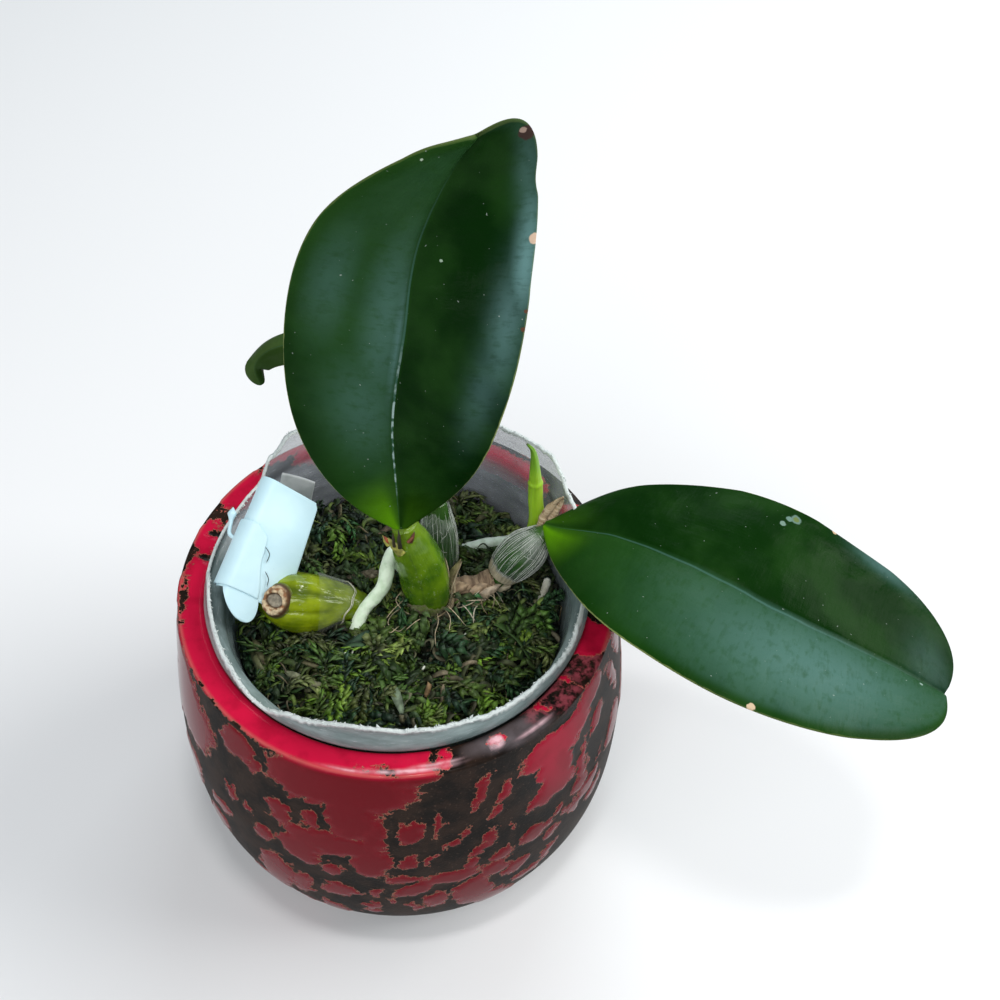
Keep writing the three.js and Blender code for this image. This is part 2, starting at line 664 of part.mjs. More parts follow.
function signedVolume(geometry) {
  const { index, attributes } = geometry;
  const corner = (i) => new THREE.Vector3().fromBufferAttribute(attributes.position, index.getX(i));
  let total = 0;
  for (let i = 0; i < index.count; i += 3) {
    total += corner(i).dot(corner(i + 1).cross(corner(i + 2))) / 6;
  }
  return total;
}

// Plant label: a rolled sheet, a flap locked into two curved slits, a round tongue and a hook
function plantLabel(cutters) {
  const sheet = labelSheet(-2, LABEL_EDGE, 0, LABEL_LENGTH, -LABEL_THICKNESS, 0);
  const flap = labelSheet(-2, FLAP_EDGE, 0.6, FLAP_LENGTH, -0.1, 0.7);
  const tongue = labelTongue(-LABEL_THICKNESS, 0);
  const hookWidth = (t) => 0.55 + 0.75 * Math.exp(-(((t - 0.9) / 0.12) ** 2));
  const hook = solidOf(stem({ points: HOOK, width: hookWidth, sides: 8, steps: 8 }));
  const slits = SLITS.map((places) => {
    const path = new THREE.CatmullRomCurve3(places.map(([u, v]) => point([u, v, 0])));
    const along = { steps: 5, bevelEnabled: false, extrudePath: path };
    const cut = bare(new THREE.ExtrudeGeometry(slitSection(), along));
    const position = cut.attributes.position;
    for (let i = 0; i < position.count; i += 1) {
      const spot = labelSpot(position.getX(i), position.getY(i), position.getZ(i));
      position.setXYZ(i, spot.x, spot.y, spot.z);
    }
    return solidOf(turnedOutward(cut));
  });
  const whole = join([sheet, flap, tongue, hook]).subtract(join(slits));
  return geometryOf(whole.subtract(join(cutters)));
}

// Section of a slit cutter: as thin as a knife cut, and deeper than the sheet
function slitSection() {
  const depth = 2;
  const width = 0.15;
  const section = new THREE.Shape();
  section.moveTo(-depth, -width);
  section.lineTo(depth, -width);
  section.lineTo(depth, width);
  section.lineTo(-depth, width);
  return section;
}

function rearTag(cutters, grow = 0) {
  const size = [TAG_WIDTH + 2 * grow, TAG_THICKNESS + 2 * grow, TAG_LENGTH + 2 * grow];
  const plate = new THREE.BoxGeometry(...size);
  plate.translate(0, 0, -TAG_LENGTH / 2);
  plate.rotateY((TAG_ROLL * Math.PI) / 180);
  plate.rotateX((-TAG_LEAN * Math.PI) / 180);
  plate.rotateZ((TAG_TURN * Math.PI) / 180);
  plate.translate(...TAG_TOP);
  const whole = solidOf(plate);
  return cutters.length ? geometryOf(whole.subtract(join(cutters))) : whole;
}

function bractRight(cutters) {
  const width = (t, angle) => {
    const scale = Math.sin(Math.PI * Math.min(1, 0.3 + 0.68 * t)) ** 0.8;
    return Math.max(BRACT.edge, BRACT.radius * scale * (1 - 0.75 * Math.cos(angle) ** 2));
  };
  const whole = solidOf(stem({ ...BRACT, width, sides: 10, steps: 10, facing: [0.3, -1, 0.2] }));
  return geometryOf(whole.subtract(join(cutters)));
}

const plant = new THREE.Group();

function add(name, geometry, [color, roughness], extra = {}) {
  const material = new THREE.MeshStandardMaterial({ color, roughness, metalness: 0, ...extra });
  const mesh = new THREE.Mesh(geometry, material);
  mesh.name = name;
  plant.add(mesh);
}

// Enlarged copies that neighbours are cut by, so that each stands clear by GAP
const grown = {
  frontLeaf: solidOf(leaf(FRONT_LEAF, GAP)),
  rightLeaf: solidOf(leaf(RIGHT_LEAF, GAP)),
  backLeaf: solidOf(leaf(BACK_LEAF, GAP)),
  frontBulb: solidOf(stem({ ...bulbShapes.front, grow: GAP })),
  backBulb: solidOf(stem({ ...bulbShapes.back, grow: GAP })),
  rightBulb: solidOf(stem({ ...bulbShapes.right, grow: GAP })),
  cutBulb: cutBulb(GAP),
  rhizome: solidOf(rhizome(GAP)),
  shoot: solidOf(newShoot(GAP)),
  frontRoot: solidOf(root(FRONT_ROOT, GAP)),
  backRoot: solidOf(root(BACK_ROOT, GAP)),
  stubRoot: solidOf(root(STUB_ROOT, GAP)),
  dryRoot: solidOf(root(DRY_ROOT, GAP)),
  tag: rearTag([], GAP),
};

function cutFrom(geometry, names) {
  return geometryOf(solidOf(geometry).subtract(join(names.map((name) => grown[name]))));
}

const sleeves = {
  back: { shape: bulbShapes.back, from: 0.12, to: 0.9, frill: 0.03 },
  right: { shape: bulbShapes.right, from: 0.1, to: 0.88, frill: 0.02 },
  cut: { shape: bulbShapes.cut, from: 0.56, to: 0.84, frill: 0.05 },
  collar: { shape: bulbShapes.front, from: 0.14, to: 0.28, frill: 0.02 },
};

function paper(name, names) {
  const { shape, from, to, frill } = sleeves[name];
  const whole = sleeve(shape, from, to, GAP, PAPER, frill);
  return geometryOf(names.length ? whole.subtract(join(names.map((other) => grown[other]))) : whole);
}

// What a sleeve takes up with clearance, for the pieces that it stands in
function aroundPaper(name) {
  const { shape, from, to, frill } = sleeves[name];
  return sleeve(shape, from - 0.03, to + 0.03, 0, PAPER + 2 * GAP, frill);
}

const paperRoom = join(Object.keys(sleeves).map(aroundPaper));

add('leaf_front', leaf(FRONT_LEAF), FINISH.leaf);
add('leaf_right', leaf(RIGHT_LEAF), FINISH.leaf);
add('leaf_back', leaf(BACK_LEAF), FINISH.leaf);
add('pseudobulb_front', cutFrom(stem(bulbShapes.front), ['frontLeaf']), FINISH.bulb);
add('pseudobulb_back', cutFrom(stem(bulbShapes.back), ['backLeaf', 'frontBulb']), FINISH.darkBulb);
add('pseudobulb_right', cutFrom(stem(bulbShapes.right), ['rightLeaf']), FINISH.darkBulb);
add('pseudobulb_cut', geometryOf(cutBulb()), FINISH.bulb);

const rhizomeClear = solidOf(cutFrom(rhizome(), ['frontBulb', 'backBulb', 'rightBulb', 'cutBulb']));
add('rhizome', geometryOf(rhizomeClear.subtract(paperRoom)), FINISH.rhizome);

const aboutShoot = ['rightBulb', 'rightLeaf', 'rhizome'];
add('new_shoot', geometryOf(solidOf(cutFrom(newShoot(), aboutShoot)).subtract(paperRoom)), FINISH.shoot);

const aboutRoots = ['frontBulb', 'backBulb', 'rightBulb', 'cutBulb', 'rhizome', 'shoot'];

function clearRoot(shape, others = []) {
  const cleared = cutFrom(root(shape), [...aboutRoots, ...others]);
  return geometryOf(solidOf(cleared).subtract(paperRoom));
}

add('root_front', clearRoot(FRONT_ROOT), FINISH.root);
add('root_back', clearRoot(BACK_ROOT), FINISH.root);
add('root_stub', clearRoot(STUB_ROOT), FINISH.root);
add('root_dry', clearRoot(DRY_ROOT, ['frontRoot']), FINISH.dryRoot);

const aboutBack = ['frontBulb', 'backLeaf', 'frontLeaf', 'rhizome', 'backRoot'];
add('sheath_back', paper('back', aboutBack), FINISH.paper);
add('sheath_right', paper('right', ['rightLeaf', 'rhizome', 'shoot']), FINISH.paper);
add('sheath_cut', paper('cut', ['frontRoot', 'dryRoot', 'rhizome']), FINISH.paper);
add('collar_front', paper('collar', ['rhizome', 'frontRoot', 'backBulb']), FINISH.bract);

const bractCutters = [grown.rightBulb, grown.rightLeaf, grown.shoot, paperRoom];
add('bract_right', bractRight(bractCutters), FINISH.bract);
add('rear_tag', rearTag([grown.backLeaf]), FINISH.tag);
add('plant_label', plantLabel([grown.cutBulb, grown.tag, paperRoom]), FINISH.label);

const roomEdge = LABEL_EDGE.map((edge) => edge + GAP);
const labelRoom = join([
  labelSheet(-2.3, roomEdge, -GAP, LABEL_LENGTH + GAP, -LABEL_THICKNESS - GAP, 0.7 + GAP),
  labelTongue(-LABEL_THICKNESS - GAP, GAP, GAP),
  solidOf(stem({ points: HOOK, width: () => 1.4, sides: 8, steps: 8, grow: GAP })),
]);
const mossNeighbours = Object.values(grown).concat([paperRoom, labelRoom]);
add('moss_bed', mossBed(mossNeighbours), FINISH.moss);

const linerNeighbours = [grown.rightLeaf, grown.frontLeaf, grown.tag, labelRoom];
const seeThrough = { transparent: true, opacity: 0.45 };
add('plastic_liner', plasticLiner(linerNeighbours), FINISH.clearPlastic, seeThrough);
add('ceramic_pot', ceramicPot(), FINISH.glaze);

export default plant;
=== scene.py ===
import math
import random

import bpy
import numpy as np
from mathutils import Matrix, Vector, noise


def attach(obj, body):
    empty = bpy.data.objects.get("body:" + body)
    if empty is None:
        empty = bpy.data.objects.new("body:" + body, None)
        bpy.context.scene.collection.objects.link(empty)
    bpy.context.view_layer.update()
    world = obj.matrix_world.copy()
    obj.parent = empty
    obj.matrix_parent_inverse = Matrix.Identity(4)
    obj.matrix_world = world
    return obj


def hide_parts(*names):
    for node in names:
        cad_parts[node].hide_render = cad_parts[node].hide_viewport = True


# A young cattleya orchid in a bellied ceramic pot: the look of every surface.
# Sizes are millimetres here, and become metres where a mesh is made.

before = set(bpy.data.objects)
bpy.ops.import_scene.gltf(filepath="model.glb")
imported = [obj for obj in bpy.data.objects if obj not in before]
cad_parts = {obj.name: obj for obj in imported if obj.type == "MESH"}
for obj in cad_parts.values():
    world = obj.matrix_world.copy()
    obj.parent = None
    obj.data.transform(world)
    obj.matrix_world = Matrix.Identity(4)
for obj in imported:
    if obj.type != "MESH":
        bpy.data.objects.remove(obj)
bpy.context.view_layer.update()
MM = 0.001
UP = np.array([0.0, 0.0, 1.0])

# The camera stands where the photograph was taken from
CAMERA_TARGET = (25, 0, 118)
CAMERA_DISTANCE = 325
CAMERA_ELEVATION = 50
CAMERA_ROLL = 2
CAMERA_LENS = 50

# Ceramic pot
POT_HEIGHT = 84
FOOT_RADIUS = 33
BELLY_RADIUS = 60
BELLY_HEIGHT = 43
RIDGE_RADIUS = 55.3
MOUTH_RADIUS = 47.6
POT_WALL = 6.5
POT_FLOOR = 7
FOOT_CURVE = 3.4
SHOULDER_CURVE = 1.36
GLAZE_THICKNESS = 0.3

# Nursery liner
LINER_FLOOR_RADIUS = 33
LINER_WALL = 1
NECK_HEIGHT = 84
NECK_RADIUS = 45.4
LINER_FLARE = 0.19
LINER_BOW = 2.9
LINER_BOW_HEIGHT = 84.2
CUT_FROM = 70

# Height of the cut rim at each bearing in degrees, counted from +X towards +Y
RIM_HEIGHTS = [
    (0, 90), (14, 93.5), (24, 96), (38, 101), (60, 99), (95, 98.5), (130, 98.5), (138, 95),
    (147, 88.5), (156, 86), (179, 86.5), (190, 90), (215, 87.5), (231, 85), (245, 88.5),
    (263, 91.5), (285, 90), (310, 88.4), (335, 87.6), (350, 89), (360, 90),
]

# Moss surface
MOSS_HEIGHT = 71.5
MOSS_RELIEF = 1.6
MOSS_EDGE_DROP = 3

# Leaves: spine from the bulb to the tip, the blade hung on it, which half is painted paler as
# if lit, patches of painted grey sheen and of painted shade as share along, share across,
# reach both ways and strength, and how white the dashes of painted highlight along its rib are
LEAF_THICKNESS = 1.5
LEAF_CUP = 0.12
LEAF_LOBE = 0.5
LEAF_RIB = 0.9
LEAF_STALK = 1.5
FRONT_LEAF = dict(
    spine=[(1, 2.8, 104.5), (0, 7.4, 134.5), (3, 13.6, 158.2), (6.2, 17.6, 179.4), (14, 18.8, 199),
           (18.1, 18, 205.8)],
    facing=(0, -1, 0.2), half_width=(27, 28), fullness=(0.66, 0.74), lobe=(1.04, 1.14),
    fold=((3, 15.5, 13.5), (3, 19.5, -7.5)), twist=(6, -10, 38), neck=2.4,
    lit=-1, bloom=[
        (0.5, -0.03, 0.15, 0.06, 0.6), (0.54, -0.16, 0.2, 0.2, 0.34), (0.32, -0.28, 0.12, 0.34, 0.24),
        (0.6, -0.68, 0.13, 0.2, 0.22), (0.7, 0.94, 0.13, 0.1, 0.85), (0.55, 0.86, 0.13, 0.14, 0.5),
        (0.42, 0.78, 0.12, 0.14, 0.26), (0.86, 0.92, 0.08, 0.12, 0.3), (0.85, -0.4, 0.2, 0.5, 0.06),
    ],
    shade=[(0.32, -1.0, 0.22, 0.3, 1.0)], dashed=0.9,
)
RIGHT_LEAF = dict(
    spine=[(37.6, 13.2, 91.4), (52.4, 4.2, 100.8), (71, -8, 105.4), (91.8, -19, 102.8),
           (113.2, -25.6, 95.8), (130.9, -31.4, 90)],
    facing=(0, -0.1, 1), half_width=(30, 30), fullness=(0.65, 0.42), lobe=(1.02, 1.01),
    fold=((-2, 5, 9), (-6, 11.5, 17)), twist=(3, -1, -10), neck=1.8,
    lit=1, bloom=[
        (0.7, 0.45, 0.26, 0.5, 0.5), (0.84, 0.4, 0.12, 0.4, 0.34), (0.52, 0.3, 0.18, 0.35, 0.24),
        (0.79, -0.97, 0.07, 0.1, 0.4), (0.95, -0.3, 0.06, 0.4, 0.16),
    ],
    shade=[(0.75, 1.0, 0.4, 0.16, 0.6), (0.15, 1.0, 0.2, 0.4, 0.5)], dashed=0,
)
BACK_LEAF = dict(
    spine=[(8.6, 19.6, 92.8), (6, 25.5, 108), (-2, 30, 123), (-14, 32, 133.5), (-25, 31.5, 135.6),
           (-32, 30.5, 133.6), (-35.2, 29.8, 129.4), (-34.4, 29.4, 123.6)],
    facing=(0, -0.35, 1), half_width=(5.2, 5.2), fullness=(0.5, 0.45), lobe=(1.01, 1.01),
    fold=((10, 5, -40), (10, 5, -40)), twist=(0, 0, 0), neck=1.6,
    lit=1, bloom=[], shade=[], dashed=0,
)

# Bulbs, roots and the shoot: points of the axis, radii at even shares of it, and furrows
# as angle at the foot, drift towards the tip and depth
UPRIGHT = (0, -1, 0.3)
FRONT_BULB = dict(
    points=[(7.6, 3.2, 68.6), (7.3, 2.2, 76), (6.2, 2.8, 86.5), (3.5, 3, 97), (1.9, 2.9, 104.2)],
    radii=[4, 5.8, 6.1, 5.2, 3.2], facing=UPRIGHT, flutes=5, depth=0.04,
)
BACK_BULB = dict(
    points=[(9.8, 14, 69), (9.8, 15, 76), (9.2, 17.8, 85), (8.6, 19.6, 92.8)],
    radii=[3.2, 4.1, 4, 2.6], facing=UPRIGHT, flutes=4, depth=0.04,
)
RIGHT_BULB = dict(
    points=[(24.8, 7.4, 77), (27.8, 8.8, 81.1), (32.5, 10.8, 86.2), (37.2, 13, 91.2)],
    radii=[2.8, 4.7, 4.7, 1.9], facing=(0.2, -1, 1), flutes=4, depth=0.04,
)
CUT_BULB = dict(
    points=[(-35.6, -3.2, 78.6), (-30, -3.4, 79.1), (-22, -2.6, 78.2), (-14, -1.4, 76.6),
            (-9.4, -1.4, 74.8)],
    radii=[2.2, 6.7, 7.8, 6.9, 5.0, 3.7], facing=(0, -0.6, 1), flutes=3, depth=0.03,
    furrows=[(-0.55, 0.75, 0.75), (0.35, 0.3, 0.55), (-1.5, 0.4, 0.3)],
)
SCAR_CENTRE = (-29.7, -7.2, 84.6)
SCAR_NORMAL = (-0.28, -0.55, 0.79)
SCAR_RADIUS = 4.2
RHIZOME = dict(
    points=[(-11, -1.8, 72), (-3, 0, 66.4), (8, 3, 65.4), (13.4, 5.8, 69.6), (13, 4.8, 74.6),
            (18, 5.8, 76.2), (24.2, 7.2, 77.4)],
    radius=2.7,
)
SHOOT = dict(
    points=[(28.4, 14.6, 73), (33, 19.4, 76.2), (34.7, 22, 84), (34.2, 22.6, 92),
            (33.7, 22.5, 101.6), (32.7, 22.7, 110.6), (31.2, 22.4, 113.2)],
    radius=2.1,
)
SHOOT_JOINT = 0.68
ROOTS = dict(
    front=dict(
        points=[(0.6, 10, 77), (-2, 8.4, 85.6), (-2.9, 5, 84.8), (-3.7, 1, 81.8), (-6, -1.6, 79.6),
                (-8.9, -4.2, 77), (-10.6, -8, 73.4), (-11, -9.6, 70.4)],
        radius=1.95, taper=0.85, flat=0,
    ),
    back=dict(
        points=[(13, 20.4, 71.4), (17, 19.6, 74.6), (23, 20.4, 75.8), (28.4, 21.6, 75.4),
                (30.8, 22.4, 70)],
        radius=1.5, taper=0.9, flat=0,
    ),
    stub=dict(
        points=[(35.4, 1.6, 70), (37, 4.4, 75.4), (38.2, 6.8, 79)],
        radius=0.95, taper=1, flat=0,
    ),
    dry=dict(
        points=[(-19.4, 5.2, 70.6), (-13, 7.6, 74.4), (-6.6, 8.8, 75.6), (-2.6, 8.6, 71.4)],
        radius=1.25, taper=0.9, flat=0.55,
    ),
)
BRACT = dict(
    points=[(36.2, 15.6, 88.4), (37.6, 17.4, 91.6), (39.6, 18.4, 95.4), (41, 18, 98.6)],
    radius=2.3, edge=0.25,
)

# Plant label: the corner where its left edge starts, its own axes, and its parts
# as places u across from the left edge and v along it
LABEL_CORNER = np.array([-44.1, -7, 91])
LABEL_UP = (8.9, 27.4, 9.8)
LABEL_RIGHT = (14.6, -4.9, -6.2)
LABEL_EDGE = (18.6, 16)
LABEL_LENGTH = 30.6
LABEL_SLOPE = 0.12
LABEL_SAG = 9.5
LABEL_THICKNESS = 0.5
LABEL_ROLL = 4
FLAP_LENGTH = 18.2
FLAP_EDGE = (10.9, 6.6)
FLAP_LIFT = 0.62
TONGUE_CENTRE = (6.5, 0.3)
TONGUE_RADII = (4.8, 6.6)
TONGUE_SKEW = 0.42
SLITS = [
    [(7.7, 13.1), (9.4, 11.7), (9.5, 9.4)],
    [(10, 7.4), (11.5, 6.1), (11.9, 4.1)],
]
HOOK = [(-40.6, 5.8, 92.2), (-42.7, 7.4, 92.2), (-42.7, 10.2, 93.2), (-42.4, 13.8, 95)]
TAG_SIZE = (9, 0.6, 30)
TAG_TOP = (-28, 28.4, 90.4)
TAG_LEAN = 24
TAG_TURN = -8
TAG_ROLL = 9


def make_camera():
    elevation = math.radians(CAMERA_ELEVATION)
    roll = math.radians(CAMERA_ROLL)
    forward = Vector((0, math.cos(elevation), -math.sin(elevation)))
    level_up = Vector((0, math.sin(elevation), math.cos(elevation)))
    level_right = Vector((1, 0, 0))
    right = level_right * math.cos(roll) + level_up * math.sin(roll)
    up = level_up * math.cos(roll) - level_right * math.sin(roll)
    lens = bpy.data.cameras.new("camera")
    lens.lens = CAMERA_LENS
    lens.clip_start = 0.01
    lens.clip_end = 20
    camera = bpy.data.objects.new("camera", lens)
    place = (Vector(CAMERA_TARGET) - forward * CAMERA_DISTANCE) * MM
    turned = Matrix((right, up, -forward)).transposed().to_4x4()
    camera.matrix_world = Matrix.Translation(place) @ turned
    bpy.context.scene.collection.objects.link(camera)
    bpy.context.scene.camera = camera


# Number helpers

def mix(a, b, share):
    return a + (b - a) * share


def unit(vector):
    vector = np.asarray(vector, float)
    return vector / np.linalg.norm(vector, axis=-1, keepdims=True)


def smoothstep(low, high, value):
    share = np.clip((value - low) / (high - low), 0, 1)
    return share * share * (3 - 2 * share)


def through(values, t):
    """The quadratic through a value at the base, the middle and the tip"""
    base, middle, tip = values
    return base * (1 - t) * (1 - 2 * t) + 4 * middle * t * (1 - t) + tip * t * (2 * t - 1)


def grain(points, size, octaves=3, shift=0.0):
    """Smooth noise of that feature size at each point, about -1 to 1"""
    offset = Vector((shift, -shift, 0.5 * shift))
    scaled = np.asarray(points, float) / size
    return np.array([noise.fractal(Vector(p) + offset, 1.0, 2.0, octaves) for p in scaled])


def smooth_run(values):
    """The smooth run through values set at even shares of a length"""
    values = np.asarray(values, float)
    last = len(values) - 1

    def run(t):
        place = np.clip(t, 0, 1) * last
        i = np.minimum(place.astype(int), last - 1)
        w = place - i
        before = values[np.maximum(i - 1, 0)]
        a, b = values[i], values[i + 1]
        after = values[np.minimum(i + 2, last)]
        v0, v1 = (b - before) / 2, (after - a) / 2
        return (2 * a - 2 * b + v0 + v1) * w**3 + (3 * b - 3 * a - 2 * v0 - v1) * w**2 + v0 * w + a

    return run


class Spine:
    """A smooth curve through points, read by share of its length"""

    def __init__(self, points, facing=UPRIGHT):
        p = np.array(points, float)
        p = np.vstack([2 * p[0] - p[1], p, 2 * p[-1] - p[-2]])
        u = np.linspace(0, 1, 60, endpoint=False)[:, None]
        runs = []
        for a, b, c, d in zip(p, p[1:], p[2:], p[3:]):
            ab, bc, cd = (math.sqrt(np.linalg.norm(w - v)) for v, w in ((a, b), (b, c), (c, d)))
            s = ((b - a) / ab - (c - a) / (ab + bc) + (c - b) / bc) * bc
            e = ((c - b) / bc - (d - b) / (bc + cd) + (d - c) / cd) * bc
            runs.append(b + s * u + (3 * c - 3 * b - 2 * s - e) * u**2 + (2 * b - 2 * c + s + e) * u**3)
        self.line = np.vstack(runs + [p[-2:-1]])
        steps = np.linalg.norm(np.diff(self.line, axis=0), axis=1)
        self.reach = np.concatenate([[0], np.cumsum(steps)])
        self.length = self.reach[-1]
        self.tangent = unit(np.gradient(self.line, self.reach, axis=0))
        self.facing = np.array(facing, float)

    def read(self, rows, share):
        place = np.clip(share, 0, 1) * self.length
        return np.stack([np.interp(place, self.reach, rows[:, k]) for k in range(3)], -1)

    def axes(self, share):
        """Origin, along, out and across at each share, straight on past both ends"""
        share = np.asarray(share, float)
        along = unit(self.read(self.tangent, share))
        past = (share - np.clip(share, 0, 1)) * self.length
        origin = self.read(self.line, share) + along * past[:, None]
        out = unit(self.facing - along * (along @ self.facing)[:, None])
        return origin, along, out, np.cross(along, out)

    def around(self, share, angle, radius):
        """Spots at that share along, at an angle round the spine and a radius away from it"""
        origin, _, out, across = self.axes(share)
        return origin + radius[:, None] * (across * np.sin(angle)[:, None] + out * np.cos(angle)[:, None])


# Mesh helpers

def make_mesh(name, points, faces, paints, fields=None, which=None):
    """A smooth mesh object from points in millimetres, with number or colour fields"""
    mesh = bpy.data.meshes.new(name)
    mesh.from_pydata((np.asarray(points, float) * MM).tolist(), [], [list(map(int, f)) for f in faces])
    for field, values in (fields or {}).items():
        values = np.asarray(values, np.float32)
        if values.ndim == 1:
            mesh.attributes.new(field, "FLOAT", "POINT").data.foreach_set("value", values)
        else:
            rgba = np.hstack([values, np.ones((len(values), 1), np.float32)])
            mesh.attributes.new(field, "FLOAT_COLOR", "POINT").data.foreach_set("color", rgba.ravel())
    for paint in paints if isinstance(paints, (list, tuple)) else [paints]:
        mesh.materials.append(paint)
    if which is not None:
        mesh.polygons.foreach_set("material_index", which)
    mesh.shade_smooth()
    mesh.update()
    piece = bpy.data.objects.new(name, mesh)
    bpy.context.scene.collection.objects.link(piece)
    return piece


def place_piece(piece, slot, *nodes):
    """The piece rides on the plant and stands for the nodes; its slot is not used"""
    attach(piece, "root")
    if nodes:
        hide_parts(*nodes)
    return piece


def wall_faces(sides, rows, start=0):
    """Faces of the wall of a tube of rows of points, counted from start"""
    j = np.arange(sides)
    k = (j + 1) % sides
    faces = []
    for row in range(rows - 1):
        low, high = start + row * sides, start + (row + 1) * sides
        faces += np.stack([low + j, low + k, high + k, high + j], 1).tolist()
    return faces


def tube_faces(sides, rows):
    """Faces of a closed tube, with a point at the middle of each end after its rows"""
    first = sides * rows
    top = first - sides
    ring = [(j, (j + 1) % sides) for j in range(sides)]
    faces = wall_faces(sides, rows) + [[first, b, a] for a, b in ring]
    return faces + [[first + 1, top + a, top + b] for a, b in ring]


def slab_faces(columns, rows):
    """Faces of a closed slab of two layers of grid points, the upper one first"""
    wide = columns + 1
    count = wide * (rows + 1)
    i = (np.arange(rows)[:, None] * wide + np.arange(columns)[None]).ravel()
    faces = np.stack([i, i + 1, i + wide + 1, i + wide], 1).tolist()
    faces += np.stack([count + i, count + i + wide, count + i + wide + 1, count + i + 1], 1).tolist()
    ring = list(range(columns)) + [columns + r * wide for r in range(rows)]
    ring += [rows * wide + columns - c for c in range(columns)] + [(rows - r) * wide for r in range(rows)]
    return faces + [[m, count + m, count + n, n] for m, n in zip(ring, ring[1:] + ring[:1])]


def grid(columns, rows):
    """Share across and share along for each point of a grid"""
    a, b = np.meshgrid(np.linspace(0, 1, columns + 1), np.linspace(0, 1, rows + 1))
    return a.ravel(), b.ravel()


def ring_grid(sides, steps):
    """Angle and share along for each point of a tube's wall"""
    angle, t = np.meshgrid(np.arange(sides) * 2 * math.pi / sides, np.linspace(0, 1, steps + 1))
    return angle.ravel(), t.ravel()


def skin(sides, steps, spot):
    """A closed skin whose points spot(angle, t, reach) gives, with its fields"""
    angle, t = ring_grid(sides, steps)
    reach = np.append(np.ones(len(t)), [0, 0])
    angle, t = np.append(angle, [0, 0]), np.append(t, [0, 1])
    points = spot(angle, t, reach)
    return points, tube_faces(sides, steps + 1), dict(around=angle, along=t)


def stem(shape, width, sides=40, steps=80):
    """A round stem along points: width(t, angle) is its radius"""
    spine = Spine(shape["points"], shape.get("facing", UPRIGHT))

    def spot(angle, t, reach):
        eased = 0.5 - 0.5 * np.cos(math.pi * t)
        return spine.around(eased, angle, width(eased, angle) * reach)

    return skin(sides, steps, spot)


def roughen(points, size, height, shift=0.0):
    """Points pushed off their middle line by noise"""
    wobble = [grain(points, size, 3, shift + 7.3 * k) for k in range(3)]
    return points + height * np.stack(wobble, -1)


def thread(points, radius, sides=5):
    """A thin closed thread along points, its ends pointed"""
    line = np.asarray(points, float)
    along = unit(np.gradient(line, axis=0))
    out = unit(np.cross(along, unit([0.31, 0.52, 0.8])))
    across = np.cross(along, out)
    share = np.linspace(0, 1, len(line))
    width = radius * np.minimum(1, 6 * np.minimum(share, 1 - share) + 0.15)
    angle = np.arange(sides) * 2 * math.pi / sides
    ring = np.cos(angle)[None, :, None] * out[:, None] + np.sin(angle)[None, :, None] * across[:, None]
    shell = (line[:, None] + width[:, None, None] * ring).reshape(-1, 3)
    return np.vstack([shell, line[:1], line[-1:]]), tube_faces(sides, len(line))


class Pile:
    """Many small closed shapes gathered into one mesh"""

    def __init__(self):
        self.points, self.faces, self.tints, self.count = [], [], [], 0

    def add(self, points, faces, tint):
        self.points.append(points)
        self.faces.append(np.asarray(faces) + self.count if len(set(map(len, faces))) == 1
                          else [[i + self.count for i in face] for face in faces])
        tint = np.asarray(tint, float)
        self.tints.append(np.broadcast_to(tint, (len(points), 3)) if tint.ndim == 1 else tint)
        self.count += len(points)

    def make(self, name, paint):
        faces = [face for group in self.faces for face in group]
        return make_mesh(name, np.vstack(self.points), faces, paint, dict(tint=np.vstack(self.tints)))


# Materials

